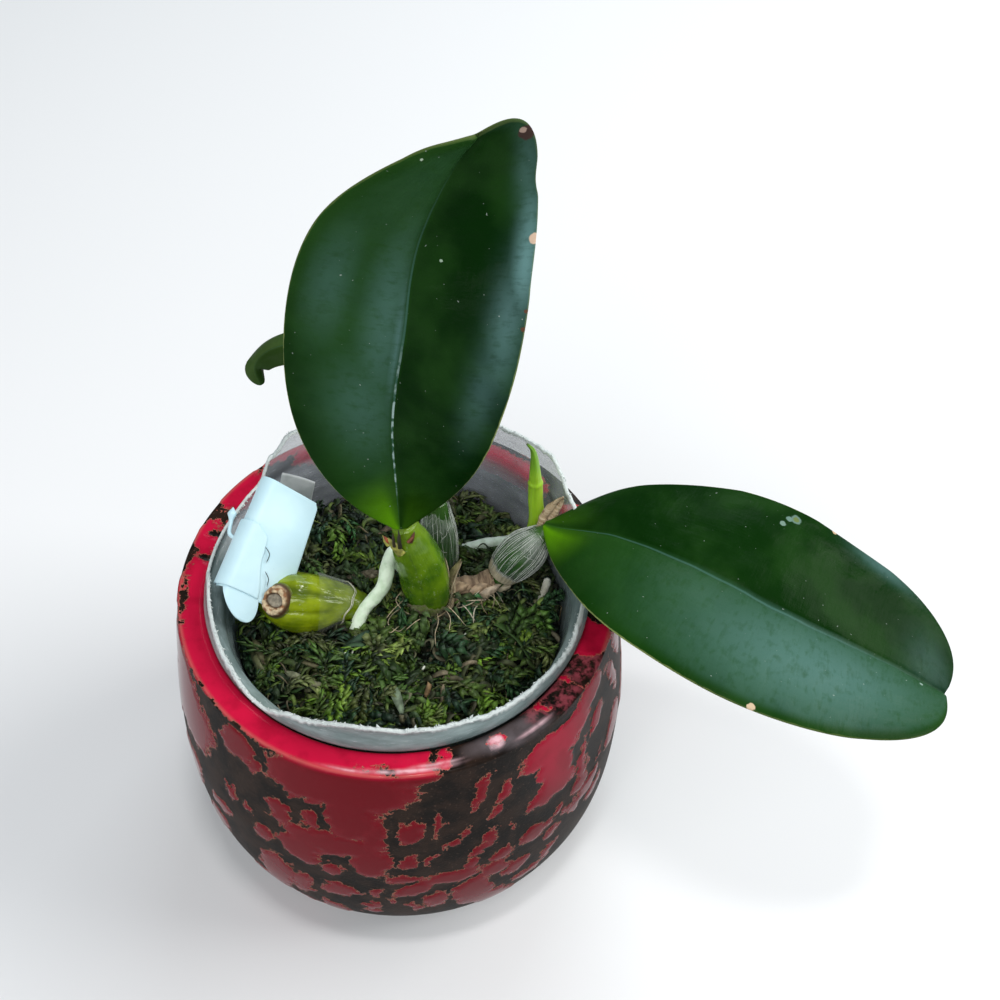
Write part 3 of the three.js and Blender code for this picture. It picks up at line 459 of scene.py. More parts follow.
class Paint:
    """A material written as nested nodes, with a principled shader"""

    def __init__(self, name, **shader):
        self.material = bpy.data.materials.new(name)
        self.material.use_nodes = True
        self.tree = self.material.node_tree
        self.shader = self.tree.nodes["Principled BSDF"]
        self.set(**shader)

    def set(self, **sockets):
        for name, value in sockets.items():
            self.put(self.shader.inputs[name.replace("_", " ").title().replace("Ior", "IOR")], value)
        return self

    def put(self, socket, value):
        if isinstance(value, bpy.types.NodeSocket):
            self.tree.links.new(value, socket)
        elif socket.type == "RGBA" and len(value) == 3:
            socket.default_value = (*value, 1)
        else:
            socket.default_value = value

    def node(self, kind, *values, out=0, **settings):
        node = self.tree.nodes.new("ShaderNode" + kind)
        for name, value in settings.items():
            setattr(node, name, value)
        for socket, value in zip(node.inputs, values):
            if value is not None:
                self.put(socket, value)
        return node.outputs[out]

    def math(self, operation, a, b=0.5):
        return self.node("Math", a, b, operation=operation)

    def times(self, a, b):
        return self.math("MULTIPLY", a, b)

    def plus(self, a, b):
        return self.math("ADD", a, b)

    def field(self, name):
        return self.node("Attribute", attribute_name=name, out=2)

    def tint(self, name="tint"):
        return self.node("Attribute", attribute_name=name, out=0)

    def place(self, stretch=(1, 1, 1)):
        spot = self.node("TexCoord", out=3)
        return self.node("Mapping", spot, None, None, stretch)

    def noise(self, size, detail=4.0, roughness=0.5, stretch=(1, 1, 1), vector=None):
        """Noise from 0 to 1 with features of that size in millimetres"""
        vector = vector or self.place(stretch)
        return self.node("TexNoise", vector, None, 1 / (size * MM), detail, roughness)

    def ramp(self, factor, *stops):
        """A number or colour for each place on the way from 0 to 1"""
        socket = self.node("ValToRGB", factor)
        ramp = socket.node.color_ramp
        while len(ramp.elements) < len(stops):
            ramp.elements.new(0.5)
        for element, (place, value) in zip(ramp.elements, stops):
            element.position = place
            element.color = (*value, 1) if hasattr(value, "__len__") else (value, value, value, 1)
        return socket

    def blend(self, factor, a, b):
        node = self.tree.nodes.new("ShaderNodeMix")
        node.data_type = "RGBA"
        for index, value in ((0, factor), (6, a), (7, b)):
            self.put(node.inputs[index], value)
        return node.outputs[2]

    def band(self, value, low, high):
        """0 below low, 1 above high, smooth between"""
        node = self.tree.nodes.new("ShaderNodeMapRange")
        node.interpolation_type = "SMOOTHSTEP"
        for index, number in enumerate((value, low, high)):
            self.put(node.inputs[index], number)
        return node.outputs[0]

    def flecked(self, color, tone, noise, edges, share=1.0):
        """The colour, and a tone where noise of that size and detail rises past the edges"""
        return self.blend(self.times(self.band(self.noise(*noise), *edges), share), color, tone)

    def near(self, spot, radius, ragged=0.35):
        """1 inside a ragged round spot of that radius about a point, else 0"""
        away = self.node("VectorMath", self.node("TexCoord", out=3), tuple(c * MM for c in spot),
                         operation="DISTANCE", out=1)
        worn = self.times(self.noise(radius * 0.8, 3), 2 * ragged * radius * MM)
        reach = self.plus(away, worn)
        edge = radius * (1 + ragged) * MM
        return self.band(reach, edge, edge * 0.8)

    def bump(self, height, depth, normal=None):
        """A bump of that depth in millimetres, over another one if given"""
        node = self.node("Bump", 1.0, depth * MM)
        self.put(node.node.inputs["Height"], height)
        if normal is not None:
            self.put(node.node.inputs["Normal"], normal)
        self.put(self.shader.inputs["Normal"], node)
        return node


def leaf_paint(name, half_width, length, tones, dashed, spots=()):
    """Leathery leaf: one half painted paler as if lit, a wrinkled painted grey sheen, a painted highlight
    along the midrib, gold at the base
    """
    p = Paint(name, specular_ior_level=0.025)
    along, across, margin = p.field("along"), p.field("across"), p.field("margin")
    # One half takes the paler green, painted light, and the other the darker green, painted shade
    green = p.blend(p.field("lit"), *tones)
    green = p.flecked(green, (0.02, 0.07, 0.012), (14, 3), (0.4, 0.7), 0.35)
    lanes = p.node("CombineXYZ", p.times(across, half_width * 0.9),
                   p.times(along, length / 22), 0.0)
    veins = p.node("TexNoise", lanes, None, 1.0, 3.0, 0.55)
    creases = p.node("CombineXYZ", p.times(across, half_width / 4),
                     p.times(along, length / 0.9), 0.0)
    wrinkles = p.node("TexNoise", creases, None, 1.0, 3.0, 0.6)
    pebbles = p.noise(2.4, 4)
    worn = p.plus(p.times(wrinkles, 0.8), p.times(pebbles, 1.2))
    # Wrinkled grey-blue sheen laid on where the patches of the field are set: painted reflection
    sheen_share = p.times(p.field("bloom"), p.ramp(worn, (0.6, 0.5), (1.0, 1.0)))
    green = p.blend(sheen_share, green, (0.125, 0.255, 0.25))
    green = p.blend(p.times(p.field("under"), 0.8), green, (0.05, 0.075, 0.02))
    green = p.blend(p.field("gold"), green, (0.085, 0.24, 0.003))
    # Pale line and white dashes along the midrib: painted highlight
    rib = p.band(p.math("ABSOLUTE", across), 0.016, 0.004)
    rib = p.times(rib, p.ramp(along, (0.0, 0.0), (0.12, 0.35), (0.6, 0.5), (0.9, 0.1)))
    green = p.blend(rib, green, (0.07, 0.17, 0.14))
    dashes = p.times(p.band(p.math("ABSOLUTE", across), 0.017, 0.006), p.band(pebbles, 0.42, 0.56))
    dashes = p.times(dashes, p.ramp(along, (0.08, 0.0), (0.14, dashed), (0.34, dashed), (0.5, 0.0)))
    green = p.blend(dashes, green, (0.33, 0.45, 0.43))
    rim = p.band(p.plus(margin, p.times(p.noise(3, 2), 0.5)), 0.5, 0.3)
    rim = p.times(rim, p.ramp(along, (0.0, 0.9), (0.3, 0.75), (0.55, 0.25), (1.0, 0.1)))
    green = p.blend(rim, green, (0.3, 0.36, 0.12))
    dust = p.band(p.noise(0.8, 2, 0.4), 0.765, 0.785)
    green = p.blend(p.times(dust, 0.5), green, (0.4, 0.46, 0.42))
    for spot, radius, core, color in spots:
        mark = p.math("SUBTRACT", p.near(spot, radius), p.near(spot, core) if core else 0.0)
        green = p.blend(p.math("MAXIMUM", mark, 0.0), green, color)
    p.set(base_color=green, roughness=p.ramp(p.noise(9, 4), (0.3, 0.25), (0.7, 0.35)))
    fine = p.bump(p.plus(wrinkles, pebbles), 0.08)
    p.bump(veins, 0.06, p.bump(p.noise(6, 4), 0.25, fine))
    return p.material


def glaze_paint():
    """Crimson glaze over a matt dark body: the field is how deep a place lies in the glaze"""
    p = Paint("crimson_glaze", specular_ior_level=0.06)
    ragged = p.plus(p.times(p.noise(1.8, 6, 0.7), 4.4), -2.2)
    field = p.plus(p.field("glaze"), ragged)
    laid = p.band(field, -0.03, 0.03)
    depth = p.math("DIVIDE", field, 2.0)
    pooled = p.ramp(depth, (0.0, (0.36, 0.2, 0.12)), (0.05, (0.33, 0.09, 0.06)), (0.12, (0.2, 0.016, 0.018)),
                    (0.3, (0.16, 0.004, 0.01)), (1.0, (0.135, 0.002, 0.007)))
    bright = p.ramp(depth, (0.0, (0.55, 0.24, 0.16)), (0.07, (0.56, 0.07, 0.07)), (0.2, (0.56, 0.008, 0.045)))
    # The rim field picks the brighter red: painted light on the rim's top and on a sunny patch of the
    # shoulder
    red = p.blend(p.field("rim"), pooled, bright)
    red = p.flecked(red, (0.15, 0.002, 0.008), (5, 4), (0.45, 0.7), 0.3)
    red = p.blend(p.times(p.field("edge"), 0.7), red, (0.7, 0.24, 0.19))
    shine = p.times(p.field("gleam"), p.ramp(p.noise(3, 3), (0.35, 0.35), (0.6, 1.0)))
    body = p.flecked((0.008, 0.006, 0.005), (0.024, 0.014, 0.01), (6, 5), (0.38, 0.62))
    body = p.flecked(body, (0.05, 0.03, 0.022), (0.8, 4), (0.6, 0.72))
    wisps = p.times(p.field("cloud"), p.band(p.noise(2.4, 5, 0.6), 0.42, 0.6))
    body = p.blend(p.times(wisps, 0.85), body, (0.32, 0.06, 0.08))
    # Grey patches on the dark rim where the haze field is set: painted reflection
    body = p.blend(p.times(p.field("haze"), p.ramp(p.noise(4, 3), (0.3, 0.5), (0.7, 1.0))), body,
                   (0.13, 0.108, 0.115))
    gloss = p.math("MAXIMUM", laid, p.field("rim"))
    color = p.blend(shine, p.blend(laid, body, red), (0.86, 0.55, 0.6))
    p.set(base_color=color, roughness=p.ramp(gloss, (0.0, 0.5), (1.0, 0.09)))
    grit = p.bump(p.times(p.math("SUBTRACT", 1.0, gloss), p.noise(0.6, 4)), 0.08)
    p.bump(p.band(field, -0.1, 0.6), 0.14, grit)
    return p.material


def mottled_paint(name, tones, noise, edges, bump, flecks=None, **shader):
    """Two tones mottled by noise, with flecks if given, over a bump of that size, detail and depth"""
    p = Paint(name, **shader)
    color = p.flecked(*tones, noise, edges)
    if flecks:
        color = p.flecked(color, *flecks)
    p.set(base_color=color)
    p.bump(p.noise(*bump[:2]), bump[2])
    return p.material


def clear_paint():
    """Scratched clear plastic, frosted along the cut"""
    p = Paint("scratched_clear_plastic", specular_ior_level=0.4)
    torn = p.plus(p.field("cut"), p.times(p.noise(2.2, 4), 1.4))
    frost = p.band(torn, 1.9, 1.0)
    streaks = p.noise(4, 5, 0.6, stretch=(0.35, 0.35, 1.6))
    scratch = p.band(p.noise(0.8, 6, 0.7, stretch=(0.22, 0.22, 2.4)), 0.6, 0.68)
    slanted = p.node("Mapping", p.node("TexCoord", out=3), None, (0.5, 0.9, 0.4), (0.1, 0.1, 3.0))
    scratch = p.math("MAXIMUM", scratch, p.band(p.noise(0.9, 5, 0.7, vector=slanted), 0.64, 0.7))
    haze = p.band(streaks, 0.3, 0.7)
    # The rear half of the wall is painted paler and bluer, and made clearer, than the front half: painted
    # light
    rear = p.band(p.node("SeparateXYZ", p.node("TexCoord", out=3), out=1), 0.005, 0.025)
    grey = p.blend(haze, p.blend(rear, (0.16, 0.22, 0.22), (0.3, 0.33, 0.37)),
                   p.blend(rear, (0.3, 0.38, 0.38), (0.44, 0.47, 0.52)))
    grey = p.blend(p.times(scratch, 0.5), grey, (0.66, 0.69, 0.72))
    grey = p.blend(frost, grey, (0.66, 0.72, 0.71))
    solid = p.math("SUBTRACT", p.ramp(haze, (0.0, 0.76), (1.0, 0.86)), p.times(rear, 0.42))
    solid = p.math("MAXIMUM", solid, p.times(scratch, 0.7))
    solid = p.math("MAXIMUM", solid, p.times(frost, 0.95))
    p.set(base_color=grey, alpha=solid, roughness=p.ramp(frost, (0.0, 0.22), (1.0, 0.7)))
    rough = p.bump(p.times(frost, p.noise(0.5, 4)), 0.3)
    p.bump(p.noise(5, 3), 0.25, rough)
    return p.material


def tinted_paint(name, size, spread, roughness=0.7, depth=0.1, **shader):
    """A surface whose colour is its own tint, broken up by noise"""
    p = Paint(name, roughness=roughness, **shader)
    tint = p.tint()
    dark = p.node("VectorMath", tint, (1 - spread,) * 3, operation="MULTIPLY")
    light = p.node("VectorMath", tint, (1 + spread,) * 3, operation="MULTIPLY")
    p.set(base_color=p.flecked(dark, light, (size, 4), (0.3, 0.7)))
    p.bump(p.noise(size * 0.4, 3), depth)
    return p.material


def bulb_paint(name, low, high, crown, gloss=0.22):
    """Waxy bulb: greener below, yellower above, with fine lengthwise lines"""
    p = Paint(name, specular_ior_level=0.5, roughness=gloss, subsurface_weight=0.06,
              subsurface_radius=(0.002, 0.003, 0.001), subsurface_scale=0.5)
    along, around = p.field("along"), p.field("around")
    color = p.flecked(low, high, (6, 3), (0.35, 0.65))
    color = p.blend(p.times(p.band(along, 0.6, 1.0), 0.8), color, crown)
    lanes = p.node("CombineXYZ", p.times(p.math("SINE", around), 9.0),
                   p.times(p.math("COSINE", around), 9.0), along)
    lines = p.node("TexNoise", lanes, None, 1.2, 2.0, 0.5)
    color = p.blend(p.times(p.band(lines, 0.5, 0.75), 0.25), color, high)
    color = p.flecked(color, (0.03, 0.035, 0.006), (1.3, 2), (0.72, 0.77), 0.7)
    dust = p.times(p.band(p.noise(0.6, 4, 0.6), 0.6, 0.68), p.band(p.noise(5, 2), 0.5, 0.64))
    color = p.blend(p.times(dust, 0.45), color, (0.45, 0.52, 0.32))
    # Darker in the furrows: painted shade
    color = p.blend(p.times(p.band(p.field("furrow_shade"), 0.1, 0.7), 0.6), color, (0.04, 0.07, 0.003))
    p.set(base_color=color)
    p.bump(lines, 0.1, p.bump(p.noise(3.5, 3), 0.3))
    return p.material


def paper_paint(name, film, haze, husk, silver=(0.56, 0.6, 0.56), tan=(0.42, 0.37, 0.26), rimmed=0.5):
    """Dry sleeve: a clear film, silvery towards its top and its outline, papery below husk"""
    p = Paint(name, roughness=0.38)
    along = p.field("along")
    outline = p.math("POWER", p.node("LayerWeight", 0.4, out=1), 2.0)
    streak = p.band(p.noise(3, 5, 0.6), 0.35, 0.7)
    crest = p.times(p.band(along, 0.45, 1.0), haze)
    foot = p.band(p.plus(along, p.times(p.noise(3, 4), 0.18)), husk + 0.12, husk)
    solid = p.plus(film, p.times(crest, p.plus(streak, 0.25)))
    solid = p.plus(solid, p.times(outline, rimmed))
    solid = p.math("MAXIMUM", solid, p.times(foot, 0.85))
    brown = p.blend(streak, tan, tuple(c * 0.6 for c in tan))
    p.set(base_color=p.blend(foot, silver, brown), alpha=p.math("MINIMUM", solid, 0.97))
    p.bump(p.noise(1.5, 4), 0.15)
    return p.material


def bark_paint(name, dark, light, fleck):
    """Dry wrinkled skin of rhizome, bract and old root"""
    p = Paint(name, roughness=0.82)
    around, along = p.field("around"), p.field("along")
    rings = p.node("CombineXYZ", p.times(around, 0.35), p.times(along, 26.0), 0.0)
    wrinkles = p.node("TexNoise", rings, None, 1.0, 4.0, 0.6)
    color = p.blend(p.band(wrinkles, 0.35, 0.65), dark, light)
    color = p.blend(p.times(p.band(p.noise(1.6, 4), 0.58, 0.68), 0.8), color, fleck)
    p.set(base_color=color)
    p.bump(wrinkles, 0.5, p.bump(p.noise(1.0, 4), 0.25))
    return p.material


def root_paint(name, pale, green, tip):
    """Velvety root skin"""
    p = Paint(name, roughness=0.68, sheen_weight=0.25, sheen_roughness=0.5, subsurface_weight=0.15,
              subsurface_radius=(0.002, 0.0025, 0.002), subsurface_scale=0.6)
    color = p.flecked(pale, green, (3.2, 4), (0.4, 0.66))
    color = p.blend(p.band(p.field("along"), 0.86, 0.97), color, tip)
    color = p.flecked(color, (0.25, 0.24, 0.17), (0.8, 3), (0.66, 0.74), 0.5)
    p.set(base_color=color)
    p.bump(p.noise(0.9, 4), 0.12)
    return p.material


def shoot_paint():
    p = Paint("bright_shoot", roughness=0.36, coat_weight=0.2, coat_roughness=0.3, subsurface_weight=0.2,
              subsurface_radius=(0.002, 0.003, 0.001), subsurface_scale=0.5)
    along, around = p.field("along"), p.field("around")
    color = p.ramp(along, (0.0, (0.28, 0.48, 0.015)), (0.5, (0.4, 0.7, 0.03)), (0.66, (0.34, 0.6, 0.025)),
                   (0.72, (0.2, 0.44, 0.02)), (0.93, (0.14, 0.32, 0.025)), (1.0, (0.07, 0.09, 0.02)))
    lanes = p.node("CombineXYZ", p.math("SINE", around), p.math("COSINE", around), p.times(along, 0.6))
    lines = p.node("TexNoise", lanes, None, 7.0, 2.0, 0.5)
    color = p.blend(p.times(p.band(lines, 0.5, 0.7), 0.35), color, (0.4, 0.6, 0.08))
    p.set(base_color=color)
    p.bump(lines, 0.12)
    return p.material


def floor_paint():
    p = Paint("pale_floor", roughness=0.7, specular_ior_level=0.2)
    p.set(base_color=p.blend(p.noise(300, 2), (0.795, 0.8, 0.81), (0.815, 0.82, 0.83)))
    return p.material


# Pot and liner

def pot_radius(z):
    t = np.clip((BELLY_HEIGHT - z) / BELLY_HEIGHT, 0, 1)
    below = mix(FOOT_RADIUS, BELLY_RADIUS, (1 - t**FOOT_CURVE) ** (1 / FOOT_CURVE))
    t = np.clip((z - BELLY_HEIGHT) / (POT_HEIGHT - BELLY_HEIGHT), 0, 1)
    above = mix(BELLY_RADIUS, RIDGE_RADIUS, t**SHOULDER_CURVE)
    return np.where(z < BELLY_HEIGHT, below, above)


def liner_radius(z):
    taper = (NECK_RADIUS - LINER_FLOOR_RADIUS) / (NECK_HEIGHT - POT_FLOOR)
    low = LINER_FLOOR_RADIUS + (z - POT_FLOOR) * taper
    return np.where(z < NECK_HEIGHT, low, NECK_RADIUS + (z - NECK_HEIGHT) * LINER_FLARE)


def liner_bow(z):
    """How far the thin wall bulges out where it rests on the pot's mouth"""
    return LINER_BOW * np.exp(-(((z - LINER_BOW_HEIGHT) / np.where(z < LINER_BOW_HEIGHT, 1.8, 4.2)) ** 2))


def rounded(corners, radius, steps=6):
    """An outline of (r, z) corners, each rounded off by a short curve"""
    corners = [np.array(c, float) for c in corners]
    outline = [corners[0]]
    for a, b, c in zip(corners, corners[1:], corners[2:]):
        start = b + unit(a - b) * min(radius, np.linalg.norm(a - b) / 2.2)
        end = b + unit(c - b) * min(radius, np.linalg.norm(c - b) / 2.2)
        for s in np.linspace(0, 1, steps):
            outline.append((1 - s) ** 2 * start + 2 * s * (1 - s) * b + s * s * end)
    return np.array(outline + [corners[-1]])


def spaced(outline, spacing):
    """The outline again, its points closer together than the spacing"""
    rows = [outline[:1]]
    for a, b in zip(outline, outline[1:]):
        count = max(1, math.ceil(np.linalg.norm(b - a) / spacing))
        rows.append(a + (b - a) * np.linspace(0, 1, count + 1)[1:, None])
    return np.vstack(rows)


def lathe(outline, sides):
    """A turned body whose outline starts and ends on the axis"""
    angle = np.arange(sides) * 2 * math.pi / sides
    ring = np.stack([np.cos(angle), np.sin(angle)], -1)
    inner = outline[1:-1]
    flat = inner[:, None, :1] * ring[None]
    height = np.broadcast_to(inner[:, None, 1:], flat.shape[:2] + (1,))
    points = np.concatenate([flat, height], -1).reshape(-1, 3)
    ends = np.array([[0, 0, outline[0][1]], [0, 0, outline[-1][1]]])
    return np.vstack([points, ends]), tube_faces(sides, len(inner))


# Dabs of glaze on the pot's unrolled outside: bearing, way up the side and on in
# across the rim, half width, half height, and how far it leans right as it rises
RIM_DABS = [
    (221, 89.5, 54, 6.5, 0), (276, 88.5, 5.5, 5.5, 0), (284.5, 86.2, 3, 1.8, 0), (286.6, 88.6, 1.3, 3.4, 0),
    (300.3, 87.1, 2.4, 2.5, 0), (317.5, 88.5, 1.1, 2, 0), (328, 88.6, 0.9, 4.4, 0.05),
    (344, 89.6, 7, 6.4, 0), (140.5, 86.5, 0.9, 2.2, 0.3), (148.5, 88, 1.5, 4, -0.3),
    (155.5, 86.5, 0.8, 1.6, 0), (165, 86.5, 5, 3, 0),
]
FRONT_DABS = [
    (259, 77.5, 20, 8.5, 0), (278, 83, 6, 3, 0.4), (262.5, 67, 6.3, 8, 0), (257, 55, 13.5, 5.4, 0),
    (267, 48, 4.8, 6.5, 0), (249, 47.5, 6.3, 6, 0), (268, 61, 2.6, 8, 0.05), (244, 61, 3.6, 4.6, 0.1),
    (252, 64, 2.6, 3.6, 0.2), (257.5, 42, 2.8, 4, 0.1), (258.5, 31, 5.4, 3.7, 0.15), (267, 33, 2, 3, 0.1),
    (265, 22, 2.6, 5.5, 0.1), (271, 27, 1.6, 3, 0), (277, 22, 1.8, 3, 0), (294, 72.5, 2, 5.4, 0.35),
    (300, 69.5, 2.4, 3.8, 0.25), (297, 63, 1.7, 2.7, 0.2), (276, 62, 3.5, 4.2, 0.3),
    (283.3, 64, 1.2, 3.8, 0.1), (289.5, 58, 2.2, 2.6, 0.5), (285.5, 55, 1.6, 1.6, 0.3),
    (296, 52.5, 1.7, 3.8, 0.15), (292.8, 48.8, 2.4, 1.9, 0.4), (275.8, 48.3, 2.6, 3.2, 0.1),
    (282, 49, 1.2, 2.4, 0.1), (298, 42, 2.7, 3.8, 0.1), (301.8, 54, 0.8, 1.7, 0), (274.5, 40.3, 5, 2.2, 0),
    (286, 38.5, 7.5, 3.2, -0.2), (296.5, 34.5, 5, 3.4, -0.3), (290, 42.5, 2, 3.6, 0.1),
    (276.5, 34, 4, 3.6, 0.8), (292, 25, 5, 9.5, -0.15), (298, 15, 6, 7, -0.3), (282.3, 27, 3, 5, 0.1),
]
LEFT_DABS = [
    (248, 27, 3.2, 8, 0.12), (240, 27, 5.6, 11, 0.15), (235, 13, 7, 7, 0.3), (256, 15, 3.5, 7, 0.1),
    (231, 77, 4.6, 5.8, 0.25), (236.2, 73, 2.4, 2.6, 0), (228, 54, 2.2, 2.6, 0), (233.5, 53, 1.2, 2, 0),
    (238.5, 46, 2.6, 3.4, 0.3), (222, 40, 3.4, 3.8, 0.3), (207, 65, 15, 12, 0.25), (202, 77, 15, 7, 0),
    (205, 37, 7, 11, 0.3), (192, 55, 8, 9, 0.2), (217, 25, 5, 7, 0.3), (246, 8, 6, 4, 0),
]
RIGHT_DABS = [
    (318, 74.5, 13, 6.2, 0.1), (315, 65, 6.2, 11, 0), (309.5, 56.5, 3.6, 2.8, 0.1), (316, 57, 6.5, 3.4, 0),
    (325.5, 56, 2.3, 8.5, 0.2), (324, 49, 3, 4, 0.1), (331, 79.5, 6.5, 4, 0.3), (333, 66, 3.6, 4.2, 0.4),
    (308, 43.3, 5, 3.2, 0.15), (315.5, 46.5, 1.6, 2, 0.2), (317.5, 42.5, 1.4, 2, 0),
    (313, 37.5, 2.6, 2.4, 0.2), (321, 40, 3.6, 3.6, 0.2), (328, 43, 5, 4, 0.3), (303, 30.5, 3, 3, 0.3),
    (333, 52, 1.8, 2.8, 0.3), (331, 35, 4, 3, 0.3), (313, 27, 3, 4, 0.2), (307, 21, 4, 3, 0.2),
    (344, 70, 2.4, 9, -0.3), (350, 76, 3, 8, -0.3), (343, 50, 5, 6, 0.2),
]
BARE_DABS = [
    (160, 90.6, 1.2, 2.2, 0), (164.5, 90.2, 1.3, 2.8, 0), (172, 90.2, 1.2, 2.4, 0),
    (188, 84.9, 5.5, 0.9, 0), (283.4, 89, 0.9, 2.4, 0), (296, 84.5, 9, 2, 0), (313, 82.6, 12, 1.5, 0),
    (188, 92, 3, 0.7, 0),
]
# Places where the edge of the glaze is torn into specks
TATTERED = [
    (249, 71, 6, 2.6, -0.3), (255, 66, 2.4, 5, 0), (256, 57, 6, 1.8, 0), (257, 47, 5, 3, 0.2),
    (287, 56, 5, 3.4, 0.3), (216, 81.5, 9, 3, 0), (232, 83, 4, 1.6, 0), (313, 51, 9, 3, 0),
    (262, 37, 8, 3, 0.2), (226, 60, 3, 12, 0.2), (335, 58, 5, 9, 0.2), (264, 22, 7, 7, 0),
]
# Places on the dark rim where red lies thin and cloudy, and where a grey sheen is painted on as a reflection
CLOUDY = [(314.5, 88.2, 3, 2.8, 0), (324, 88, 6, 4.5, 0), (335, 88, 5, 5, 0)]
PAINTED_RIM_SHEENS = [(303, 87.5, 9, 2.6, 0), (309, 85, 6, 1.6, 0)]
# Windows mirrored in the glossy rim
GLEAMS = [
    (276, 85.4, 11, 0.55, 0), (284, 86.4, 5, 0.5, 0), (262, 85, 5, 0.35, 0), (311, 85.4, 4.5, 0.5, 0.12),
    (300.3, 87.2, 2, 1.8, 0),
]
HIDDEN_DABS = 150


def hidden_dabs():
    """Dabs of the same kinds round the side that the photograph doesn't show"""
    draw = random.Random(8)
    dabs = [(80, 90, 34, 5.5, 0), (20, 89, 13, 6, 0), (118, 88, 9, 4, 0)]
    for _ in range(HIDDEN_DABS):
        size = 1.4 + 7 * draw.random() ** 2.6
        at, up = draw.uniform(-6, 186), draw.uniform(4, 84)
        dabs.append((at, up, size, size * draw.uniform(0.5, 1.5), draw.uniform(-0.1, 0.5)))
    return dabs


def dab_depth(arc, up, dabs, radius):
    """How deep each place lies inside the nearest dab, in millimetres: below 0 it lies outside"""
    deepest = np.full(len(arc), -4.0)
    turn = 2 * math.pi * radius
    for bearing, level, wide, tall, lean in dabs:
        off = (arc - math.radians(bearing) * radius + turn / 2) % turn - turn / 2
        rise = up - level
        reach = (np.abs((off - lean * rise) / wide) ** 2.4 + np.abs(rise / tall) ** 2.4) ** (1 / 2.4)
        deepest = np.maximum(deepest, (1 - reach) * min(wide, tall, 6))
    return deepest


def make_pot():
    heights = BELLY_HEIGHT * (1 - np.cos(np.linspace(0, math.pi / 2, 40)))
    heights = np.append(np.maximum(heights, 0.4), np.linspace(BELLY_HEIGHT, POT_HEIGHT - 2, 30)[1:])
    outer = spaced(np.stack([pot_radius(heights), heights], -1), 0.95)
    lip = spaced(rounded([
        (pot_radius(POT_HEIGHT - 2.0), POT_HEIGHT - 2), (RIDGE_RADIUS - 0.1, POT_HEIGHT),
        (MOUTH_RADIUS + 1, POT_HEIGHT - 0.3), (MOUTH_RADIUS - 0.2, POT_HEIGHT - 2.4),
        (MOUTH_RADIUS + 0.4, POT_HEIGHT - 6),
    ], 1.8, 8), 0.6)[1:]
    down = np.linspace(70, 9.5, 16)
    inner = np.stack([pot_radius(down) - POT_WALL - 1.5 * smoothstep(24, 12, down), down], -1)
    ends = [(FOOT_RADIUS + 4, POT_FLOOR), (0, POT_FLOOR)]
    outline = np.vstack([[(0, 0), (FOOT_RADIUS - 1.5, 0)], outer, lip, inner, ends])
    across_lip = POT_HEIGHT - 2 + np.cumsum(np.hypot(*np.diff(np.vstack([outer[-1:], lip]), axis=0).T))
    way = np.concatenate([[0], outer[:, 1], across_lip, np.full(len(inner) + 1, 140.0)])
    sides = 440
    points, faces = lathe(outline, sides)
    up = np.append(np.repeat(way, sides), [0, 140])
    radius = np.hypot(points[:, 0], points[:, 1])
    mean_radius = np.where(up > POT_HEIGHT, RIDGE_RADIUS - (up - POT_HEIGHT), 58).clip(MOUTH_RADIUS)
    arc = np.arctan2(points[:, 1], points[:, 0]) % (2 * math.pi) * mean_radius
    warp = [1.8 * grain(points, 9, 3, shift) + 1.3 * grain(points, 3, 3, shift + 4) for shift in (3.1, 9.7)]
    arc, rise = arc + warp[0], up + warp[1] * np.where(up > POT_HEIGHT - 3, 0.5, 1)
    glazed = RIM_DABS + FRONT_DABS + LEFT_DABS + RIGHT_DABS + hidden_dabs()
    field = dab_depth(arc, rise, glazed, mean_radius)
    field = np.minimum(field, -dab_depth(arc, rise, BARE_DABS, mean_radius))
    torn = smoothstep(-1.2, 1.0, dab_depth(arc, rise, TATTERED, mean_radius))
    field -= torn * (0.5 + 1.6 * grain(points, 1.9, 3, 6.6))
    cloud = smoothstep(-1.5, 1.5, dab_depth(arc, rise, CLOUDY, mean_radius))
    # Where the grey sheen is painted on the dark rim: a painted reflection
    haze = 0.9 * smoothstep(-1.2, 1.2, dab_depth(arc, up, PAINTED_RIM_SHEENS, mean_radius))
    gleam = 0.9 * smoothstep(-0.3, 0.5, dab_depth(arc - warp[0], up, GLEAMS, mean_radius))
    edge = np.exp(-(((up - POT_HEIGHT - 0.2) / 0.4) ** 2)) * 0.5 + np.exp(-(((up - 91.3) / 0.35) ** 2))
    outside = (up < 100) * 1.0
    bare = GLAZE_THICKNESS * outside * smoothstep(0.5, 6, points[:, 2])
    lift = bare * (smoothstep(-0.2, 1.2, field) - 1)
    away = np.stack([points[:, 0] / np.maximum(radius, 1), points[:, 1] / np.maximum(radius, 1), 0 * up], -1)
    top = (smoothstep(POT_HEIGHT - 1.5, POT_HEIGHT + 1, up) * outside)[:, None]
    points = points + mix(away, UP, top) * lift[:, None]
    which = [0 if outside[min(face)] else 1 for face in faces]
    # The rim's top and a sunny patch on the right shoulder take the brighter red, painted light, and the
    # lower roughness
    turn = (arc / mean_radius - math.radians(318)) / math.radians(15)
    sunny = 0.7 * np.exp(-turn * turn) * smoothstep(45, 72, up) * (up < 100)
    fields = dict(glaze=field, rim=np.maximum(top[:, 0], sunny), edge=edge * outside, cloud=cloud,
                  gleam=gleam * outside, haze=haze * outside)
    inside = mottled_paint("pot_inside", [(0.09, 0.08, 0.075), (0.15, 0.13, 0.12)], (9, 4), (0.4, 0.6),
                           (1.2, 4, 0.1), roughness=0.6)
    pot = make_mesh("glazed_pot", points, faces, [glaze_paint(), inside], fields, which)
    place_piece(pot, "glaze", "ceramic_pot")


